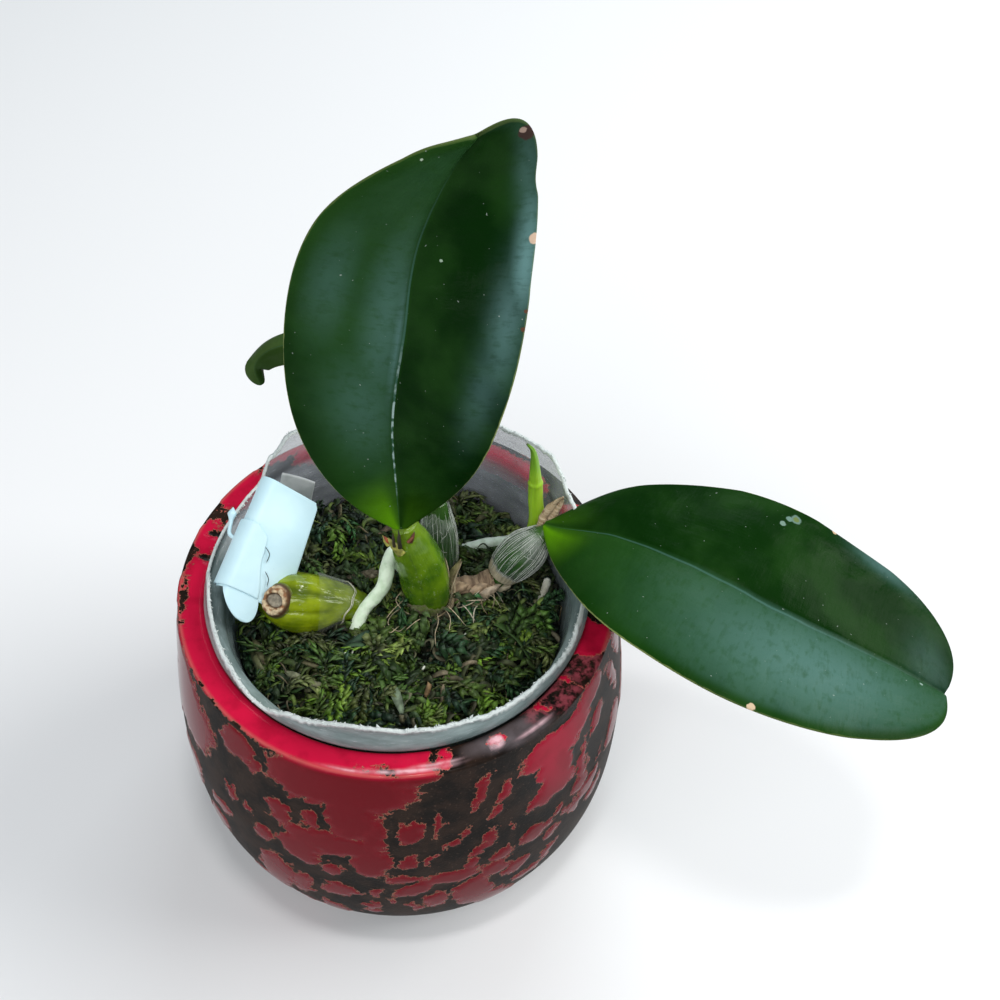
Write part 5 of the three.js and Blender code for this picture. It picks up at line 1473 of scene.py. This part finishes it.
def make_scar():
    """The callus ring and its sunken middle where the old bulb was cut"""
    rings, sides = 34, 72
    normal = unit(SCAR_NORMAL)
    side = unit(np.cross(normal, UP))
    lift = np.cross(side, normal)
    angle, share = ring_grid(sides, rings - 1)
    share = mix(1, 0.03, share)
    oval = 1 - 0.1 * np.cos(2 * angle)
    radius = SCAR_RADIUS * share * oval
    flat = side * (radius * np.cos(angle))[:, None] + lift * (radius * np.sin(angle))[:, None]
    hollow = np.hypot(np.cos(angle) * 0.8, np.sin(angle) * 1.25) * share
    height = -2.4 * smoothstep(0.78, 1.0, share) + 0.35 * np.sin(math.pi * smoothstep(0.3, 1, share))
    height = height - 0.65 * smoothstep(0.56, 0.44, hollow) + 1.5
    crumbs = grain(flat + 5, 1.1, 4, 3.0)
    height = height + 0.42 * crumbs * smoothstep(0.3, 0.5, hollow) * smoothstep(1.0, 0.85, share)
    points = np.array(SCAR_CENTRE) + flat + normal * height[:, None]
    middle = np.array(SCAR_CENTRE) + normal * (height[-1])
    under = np.array(SCAR_CENTRE) - normal * 2.4
    points = np.vstack([points, under, middle])
    faces = tube_faces(sides, rings)
    rusty, beige = np.array([0.26, 0.12, 0.05]), np.array([0.58, 0.45, 0.28])
    green, grey = np.array([0.13, 0.17, 0.02]), np.array([0.27, 0.24, 0.18])
    mottle = smoothstep(-0.35, 0.3, crumbs + 0.5 * grain(flat - 9, 0.6, 3, 8.0))[:, None]
    tint = mix(rusty, beige, mottle)
    tint = mix(tint, np.array([0.09, 0.05, 0.025]), smoothstep(0.53, 0.48, hollow)[:, None])
    tint = mix(tint, grey * (1 + 0.4 * crumbs[:, None]), smoothstep(0.46, 0.4, hollow)[:, None])
    tint = mix(tint, np.array([0.08, 0.03, 0.01]), smoothstep(0.8, 0.88, share)[:, None])
    tint = mix(tint, green, smoothstep(0.9, 0.98, share)[:, None])
    tint = np.vstack([tint, green, grey])
    paint = tinted_paint("callus", 0.8, 0.25, 0.75, 0.15)
    piece = make_mesh("cut_scar", points, faces, paint, dict(tint=tint))
    place_piece(piece, "bulb_skin")


def root_width(shape):
    def width(t, angle):
        rounded_end = np.minimum(1, (1 - t) / 0.07 + 0.25) ** 0.5
        wobble = 1 + 0.06 * np.sin(17 * t)
        body = shape["radius"] * rounded_end * wobble * mix(1, shape["taper"], t)
        return body * (1 - shape["flat"] * np.cos(angle) ** 2)

    return width


def make_roots():
    white = root_paint("white_root", (0.78, 0.92, 0.72), (0.58, 0.74, 0.52), (0.5, 0.34, 0.16))
    back = root_paint("back_root", (0.66, 0.78, 0.7), (0.42, 0.52, 0.42), (0.24, 0.3, 0.2))
    grey = root_paint("grey_root", (0.42, 0.42, 0.36), (0.3, 0.29, 0.23), (0.6, 0.6, 0.54))
    dry = bark_paint("dry_root_skin", (0.05, 0.04, 0.022), (0.2, 0.17, 0.11), (0.3, 0.26, 0.18))
    for key, paint, slot in (("front", white, "root"), ("back", back, "root"), ("stub", grey, "root"),
                             ("dry", dry, "dry_fibre")):
        shape = dict(ROOTS[key], facing=(0.1, -0.5, 1))
        points, faces, fields = stem(shape, root_width(shape), 36, 110)
        points = roughen(points, 2.6, 0.22 if key != "dry" else 0.4, 4.0)
        place_piece(make_mesh(key + "_root", points, faces, paint, fields), slot, "root_" + key)


def make_rhizome():
    def width(t, angle):
        rings = 0.14 * np.sin(26 * t) + 0.08 * np.sin(61 * t)
        return RHIZOME["radius"] * (1 + rings + 0.06 * np.cos(3 * angle))

    shape = dict(RHIZOME, facing=(0.1, -0.3, 0.2))
    points, faces, fields = stem(shape, width, 48, 150)
    points = roughen(points, 2.4, 0.4, 1.1)
    paint = bark_paint("rhizome_bark", (0.12, 0.075, 0.045), (0.34, 0.24, 0.15), (0.42, 0.34, 0.22))
    place_piece(make_mesh("creeping_rhizome", points, faces, paint, fields), "rhizome_bark", "rhizome")


def make_shoot():
    def width(t, angle):
        lower = mix(SHOOT["radius"] * 1.08, SHOOT["radius"] * 0.86, t / SHOOT_JOINT)
        late = np.maximum(0, (t - SHOOT_JOINT) / (1 - SHOOT_JOINT))
        upper = mix(SHOOT["radius"] * 0.76, SHOOT["radius"] * 0.12, late**1.3)
        step = smoothstep(SHOOT_JOINT - 0.004, SHOOT_JOINT + 0.012, t)
        lip = 0.12 * np.exp(-(((t - SHOOT_JOINT + 0.012) / 0.012) ** 2))
        return mix(lower, upper, step) + lip + 0.05 * np.cos(4 * angle)

    points, faces, fields = stem(dict(SHOOT, facing=(0, -1, 0.1)), width, 44, 170)
    place_piece(make_mesh("young_shoot", points, faces, shoot_paint(), fields), "shoot", "new_shoot")


def make_bract():
    def width(t, angle):
        scale = np.sin(math.pi * np.minimum(1, 0.3 + 0.68 * t)) ** 0.8
        thin = 1 - 0.8 * np.cos(angle) ** 2
        return np.maximum(BRACT["edge"], BRACT["radius"] * scale * thin)

    points, faces, fields = stem(dict(BRACT, facing=(0.3, -1, 0.2)), width, 40, 60)
    points = roughen(points, 2.0, 0.3, 6.0)
    paint = bark_paint("tan_bract", (0.34, 0.24, 0.13), (0.6, 0.48, 0.32), (0.2, 0.09, 0.04))
    place_piece(make_mesh("right_bract", points, faces, paint, fields), "dry_fibre", "bract_right")


# Plant label and rear tag

label_up = unit(LABEL_UP)
label_right = unit(np.array(LABEL_RIGHT) - label_up * np.dot(LABEL_RIGHT, label_up))
label_out = np.cross(label_right, label_up)


def label_spot(u, v, h):
    """A spot on the bent label: left of the roll's centre the sheet turns back, and
    its lower right corner sags"""
    u, v, h = (np.asarray(a, float)[..., None] for a in np.broadcast_arrays(u, v, h))
    h = h - LABEL_SAG * (np.maximum(0, u) / LABEL_EDGE[0]) ** 3 * (1 - v / LABEL_LENGTH)
    flat = LABEL_CORNER + label_up * v + label_right * u + label_out * h
    turn = np.maximum(0, (LABEL_ROLL - u) / LABEL_ROLL)
    radius = LABEL_ROLL + h
    rolled = LABEL_CORNER + label_up * v + label_right * (LABEL_ROLL - radius * np.sin(turn))
    rolled = rolled + label_out * (radius * np.cos(turn) - LABEL_ROLL)
    return np.where(u < LABEL_ROLL, rolled, flat)


def label_slab(name, columns, rows, outline, low, high, paint, bend=None):
    """A closed bent slab: outline(a, b) gives u and v for shares across and along"""
    a, b = grid(columns, rows)
    u, v = outline(a, b)
    lift = bend(u, v) if bend else 0 * u
    edge = np.minimum.reduce([a, 1 - a, b, 1 - b])
    soft = 0.12 * (1 - smoothstep(0, 0.012, edge))
    top = label_spot(u, v, high + lift - soft)
    bottom = label_spot(u, v, low + lift + soft * 0.5)
    piece = make_mesh(name, np.vstack([top, bottom]), slab_faces(columns, rows), paint)
    return place_piece(piece, "label_plastic")


def make_label():
    paint = mottled_paint(
        "label_plastic", [(0.56, 0.79, 0.87), (0.62, 0.85, 0.92)], (12, 3), (0.35, 0.65), (3, 4, 0.03),
        ((0.42, 0.6, 0.68), (0.7, 5, 0.7), (0.64, 0.7), 0.25), roughness=0.42, subsurface_weight=0.1,
        subsurface_scale=0.3, subsurface_radius=(0.002, 0.002, 0.002),
    )

    def sloped(u, b, low, high):
        return u, mix(low, high - LABEL_SLOPE * np.maximum(0, u), b)

    def sheet(a, b):
        corner = 0.7 * (1 - smoothstep(0, 0.05, np.minimum(b, 1 - b))) * smoothstep(0.93, 1, a)
        return sloped(mix(-2, mix(*LABEL_EDGE, b), a) - corner, b, 0, LABEL_LENGTH)

    def flap(a, b):
        edge = mix(*FLAP_EDGE, b) + 0.3 * np.sin(9 * b + 0.5)
        corner = 2.4 * smoothstep(0.84, 1, b) ** 2 * a
        return sloped(mix(-2, edge - corner, a), b, 0.4, FLAP_LENGTH)

    def tongue(a, b):
        angle = (2 * a - 1) * math.pi / 2
        v = (2 * b - 1) * TONGUE_RADII[1]
        reach = TONGUE_RADII[0] * np.sqrt(np.maximum(1e-4, 1 - (2 * b - 1) ** 2))
        u = TONGUE_CENTRE[0] + reach * np.sin(angle)
        return u + TONGUE_SKEW * v, TONGUE_CENTRE[1] - v

    main = label_slab("label_sheet", 80, 100, sheet, -LABEL_THICKNESS, 0, paint)
    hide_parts("plant_label")
    label_slab("label_flap", 50, 70, flap, 0.05, FLAP_LIFT, paint)
    lap = label_slab("label_tongue", 40, 44, tongue, -LABEL_THICKNESS - 0.05, 0.12, paint)
    lap.data.flip_normals()
    line = Spine(HOOK).line
    share = np.linspace(0, 1, len(line))
    keep = slice(None, None, 6)
    knob = 0.5 + 0.8 * np.exp(-(((share - 0.9) / 0.12) ** 2))
    points, faces = thread(line[keep], 1.0, 14)
    sides = 14
    middle = np.repeat(line[keep], sides, 0)
    points[:-2] = middle + (points[:-2] - middle) * np.repeat(knob[keep], sides)[:, None]
    place_piece(make_mesh("label_hook", points, faces, paint), "label_plastic")
    slits = Pile()
    for places in SLITS:
        path = Spine([(u, v, 0) for u, v in places], (0, 0, 1)).line[::8]
        points, faces = thread(label_spot(path[:, 0], path[:, 1], FLAP_LIFT + 0.05), 0.13, 5)
        slits.add(points, faces, (0.06, 0.1, 0.11))
    place_piece(slits.make("label_slits", tinted_paint("slit_shade", 1, 0.1)), "label_plastic")


def make_tag():
    """Corner of a second tag: a thin bent plate whose foot is in the moss"""
    columns, rows = 24, 60
    a, b = grid(columns, rows)
    a = a - 0.5
    bow = 0.5 * np.cos(math.pi * a)
    turned = Matrix.Identity(3)
    for axis, degrees in (("Z", TAG_TURN), ("X", -TAG_LEAN), ("Y", TAG_ROLL)):
        turned = turned @ Matrix.Rotation(math.radians(degrees), 3, axis)
    shells = []
    for face in (-0.5, 0.5):
        flat = np.stack([a * TAG_SIZE[0], face * TAG_SIZE[1] + bow, -b * TAG_SIZE[2]], -1)
        shells.append(flat @ np.array(turned).T + np.array(TAG_TOP))
    faces = [face[::-1] for face in slab_faces(columns, rows)]
    grey = mottled_paint("grey_tag", [(0.42, 0.45, 0.45), (0.54, 0.57, 0.57)], (5, 4), (0.4, 0.6),
                         (2, 4, 0.05), roughness=0.4, alpha=0.85)
    place_piece(make_mesh("grey_rear_tag", np.vstack(shells), faces, grey), "clear_plastic", "rear_tag")


# Loose fibres and dry scraps

STRAW_TONES = [(0.42, 0.35, 0.22), (0.5, 0.43, 0.3), (0.3, 0.23, 0.13), (0.58, 0.52, 0.4)]
WOUND_FIBRES = 56
ROOTLETS = 30
# Loose curls and stalks round the bulbs: path and radius
LOOSE_FIBRES = [
    ([(1.2, -1, 78), (-1.6, -3.4, 76.4), (-3.4, -6.8, 75.4), (-1.6, -9.4, 75.6), (0.6, -7.6, 76)], 0.11),
    ([(2, -2, 77), (-1.2, -4.6, 77), (-2.2, -7.6, 76.8), (0.4, -8.8, 75.4), (2.4, -6.6, 75)], 0.09),
    ([(10, -3.4, 76.4), (10.4, -6.6, 76.6), (9.8, -9.6, 76), (10.2, -13, 75.4)], 0.11),
    ([(8, -4, 76), (5, -6.4, 76.8), (2.2, -9, 76.2)], 0.1),
    ([(12.4, -1, 76.6), (15, -4.4, 77.2), (17.4, -6.8, 76)], 0.1),
    ([(12, -2, 76), (13.4, -5, 76.4), (13.2, -8.6, 75.2)], 0.08),
    ([(13, 1.6, 77.6), (14.6, 5, 82), (15.8, 7.2, 84.6)], 0.2),
    ([(12.2, 1.4, 78), (12.6, 3.6, 84), (11.6, 5.6, 88)], 0.16),
    ([(0.8, 0, 80.5), (-0.6, -1.4, 78.6), (1.8, -3.6, 76.6), (6.4, -4.4, 75.6)], 0.13),
]


def make_fibres():
    """Straw fibres hugging the front bulb's foot, a few loose curls, and rootlets by the rhizome"""
    draw = random.Random(12)
    pile = Pile()
    spine = Spine(FRONT_BULB["points"])
    width = bulb_width(FRONT_BULB)
    for k in range(WOUND_FIBRES):
        start, sweep = draw.uniform(-2.2, 1.2), draw.uniform(1.2, 3.4)
        t = np.linspace(0, 1, 30)
        angle = start + sweep * t
        share = 0.15 + draw.uniform(-0.03, 0.04) - 0.035 * np.cos(angle + 0.35)
        share = share + 0.012 * np.sin(2 * angle + k) + 0.07 * smoothstep(0.9, 2.3, angle)
        loose = 0.4 + draw.uniform(0, 0.7) + draw.uniform(0, 1.4) * t**4
        line = spine.around(share, angle, width(share, angle) + loose)
        points, faces = thread(line, draw.uniform(0.08, 0.19))
        pile.add(points, faces, np.array(draw.choice(STRAW_TONES)) * draw.uniform(0.7, 1.15))
    for line, radius in LOOSE_FIBRES:
        points, faces = thread(Spine(line).line[::5], radius)
        pile.add(points, faces, np.array((0.5, 0.41, 0.27)) * draw.uniform(0.7, 1.1))
    for _ in range(ROOTLETS):
        foot = np.array([draw.uniform(11, 24), draw.uniform(-1, 6), draw.uniform(74, 76.5)])
        heading, curl = draw.uniform(-2.6, 0.2), draw.uniform(-2, 2)
        share = np.linspace(0, 1, 14)
        turn = heading + curl * share
        length = draw.uniform(2.5, 6.5)
        line = foot + np.stack([
            length * share * np.cos(turn), length * share * np.sin(turn),
            1.6 * np.sin(math.pi * share) - 1.0 * share,
        ], -1)
        points, faces = thread(line, draw.uniform(0.06, 0.16))
        pile.add(points, faces, np.array(draw.choice(STRAW_TONES)) * draw.uniform(0.5, 1.0))
    fibres = pile.make("straw_fibres", tinted_paint("straw", 1.0, 0.3, 0.8, 0.05))
    place_piece(fibres, "dry_fibre")


# Scars and spots on the leaves: share along, share across, radius, hollow core and colour
FRONT_MARKS = [
    (0.74, 0.99, 1.3, 0.0, (0.62, 0.45, 0.33)), (0.93, 0.95, 2.0, 0.0, (0.05, 0.03, 0.025)),
    (0.94, 0.93, 0.8, 0.0, (0.35, 0.25, 0.2)), (0.54, 0.99, 0.6, 0.0, (0.11, 0.05, 0.03)),
    (0.58, 0.99, 0.5, 0.0, (0.11, 0.05, 0.03)), (0.7, 0.236, 0.4, 0.0, (0.3, 0.4, 0.3)),
    (0.91, -0.84, 0.4, 0.0, (0.4, 0.5, 0.38)),
]
RIGHT_MARKS = [
    (0.508, -0.8, 0.9, 0.0, (0.16, 0.25, 0.2)), (0.514, -0.86, 0.9, 0.0, (0.13, 0.22, 0.18)),
    (0.53, -0.885, 1.5, 0.7, (0.12, 0.2, 0.16)), (0.535, -0.88, 0.9, 0.0, (0.13, 0.18, 0.06)),
    (0.604, 0.985, 1.1, 0.0, (0.6, 0.45, 0.3)), (0.66, -0.99, 0.7, 0.0, (0.5, 0.36, 0.22)),
    (0.94, 0.08, 0.5, 0.0, (0.25, 0.35, 0.3)),
]


def make_plants():
    # Each leaf's greens: its shaded half's, then its half painted paler as if lit
    make_leaf("front_leaf", FRONT_LEAF, "leaf_front", [(0.0025, 0.018, 0.002), (0.012, 0.05, 0.007)],
              marks=FRONT_MARKS)
    make_leaf("right_leaf", RIGHT_LEAF, "leaf_right", [(0.003, 0.022, 0.002), (0.01, 0.05, 0.005)],
              marks=RIGHT_MARKS)
    make_leaf("back_leaf", BACK_LEAF, "leaf_back", [(0.018, 0.04, 0.008), (0.04, 0.075, 0.02)], 0.15, 72, 120)
    green = bulb_paint("front_bulb_skin", (0.045, 0.12, 0.004), (0.12, 0.23, 0.006), (0.17, 0.29, 0.01))
    deep = bulb_paint("dark_bulb_skin", (0.01, 0.05, 0.006), (0.028, 0.1, 0.012), (0.05, 0.13, 0.02))
    olive = bulb_paint("cut_bulb_skin", (0.13, 0.19, 0.002), (0.28, 0.36, 0.006), (0.03, 0.07, 0.003), 0.17)
    make_bulb("front_bulb", FRONT_BULB, "pseudobulb_front", green)
    make_bulb("back_bulb", BACK_BULB, "pseudobulb_back", deep)
    make_bulb("right_bulb", RIGHT_BULB, "pseudobulb_right", deep)
    make_bulb("cut_bulb", CUT_BULB, "pseudobulb_cut", olive, 0.3)
    make_scar()
    netted = paper_paint("netted_paper", 0.0, 0.16, 0.04, rimmed=0.42)
    fanned = paper_paint("fanned_paper", 0.0, 0.22, 0.2, rimmed=0.5)
    clear = paper_paint("clear_film", 0.02, 0.04, -0.2, rimmed=0.2)
    straw = paper_paint("straw_film", 0.03, 0.05, -0.3, (0.5, 0.42, 0.28), (0.36, 0.28, 0.16))
    make_sleeve("back_sheath", BACK_BULB, 0.12, 0.9, "sheath_back", netted, "papery_sheath")
    make_sleeve("right_sheath", RIGHT_BULB, 0.1, 0.88, "sheath_right", fanned, "papery_sheath")
    make_sleeve("cut_sheath", CUT_BULB, 0.56, 0.84, "sheath_cut", clear, "papery_sheath")
    make_sleeve("front_collar", FRONT_BULB, 0.14, 0.28, "collar_front", straw, "dry_fibre")
    make_veins("back_veins", BACK_BULB, 0.14, 0.95, 17, 3, 30)
    make_veins("right_veins", RIGHT_BULB, 0.12, 0.94, 46, 4, 12)
    make_rims()
    make_scales()
    make_rhizome()
    make_shoot()
    make_roots()
    make_bract()
    make_fibres()


FLOOR_REACH = 3.0
LAMP_AIM = (0.02, 0, 0.08)
SKY_COLOR = (0.85, 0.93, 1.0)
SKY_STRENGTH = 0.2
# Lamps in metres and watts: place, extent, power and colour
LAMPS = [
    ("key", (0.92, 0.2, 0.74), (0.8, 0.7), 12.0, (1.0, 0.995, 0.98)),
    ("front", (-0.1, -0.73, 0.95), (0.7, 0.4), 4.0, (1.0, 0.99, 0.98)),
    ("fill", (-0.78, -0.8, 0.5), (0.8, 0.5), 4.4, (0.96, 0.98, 1.0)),
    ("window", (0.2, 0.83, 0.85), (0.6, 0.4), 3.2, (0.85, 0.95, 1.0)),
    ("top", (0.05, -0.1, 1.25), (0.2, 0.1), 3.0, (1.0, 0.99, 0.98)),
]


def make_stage():
    """Pale floor, broad light from the right, softer light from the front and left"""
    mesh = bpy.data.meshes.new("floor")
    corners = [(x * FLOOR_REACH, y * FLOOR_REACH, 0) for x, y in ((-1, -1), (1, -1), (1, 1), (-1, 1))]
    mesh.from_pydata(corners, [], [(0, 1, 2, 3)])
    mesh.materials.append(floor_paint())
    floor = bpy.data.objects.new("floor", mesh)
    bpy.context.scene.collection.objects.link(floor)
    for name, place, extent, power, color in LAMPS:
        light = bpy.data.lights.new(name, "AREA")
        light.shape = "RECTANGLE"
        light.size, light.size_y = extent
        light.energy = power
        light.color = color
        lamp = bpy.data.objects.new(name, light)
        lamp.location = place
        aim = Vector(LAMP_AIM) - Vector(place)
        lamp.rotation_euler = aim.to_track_quat("-Z", "Y").to_euler()
        bpy.context.scene.collection.objects.link(lamp)
    world = bpy.data.worlds.new("surround")
    world.use_nodes = True
    sky = world.node_tree.nodes["Background"]
    sky.inputs["Color"].default_value = (*SKY_COLOR, 1)
    sky.inputs["Strength"].default_value = SKY_STRENGTH
    bpy.context.scene.world = world
    bpy.context.scene.view_settings.view_transform = "Standard"


make_camera()
make_stage()
make_pot()
make_liner()
make_moss()
make_plants()
make_label()
make_tag()
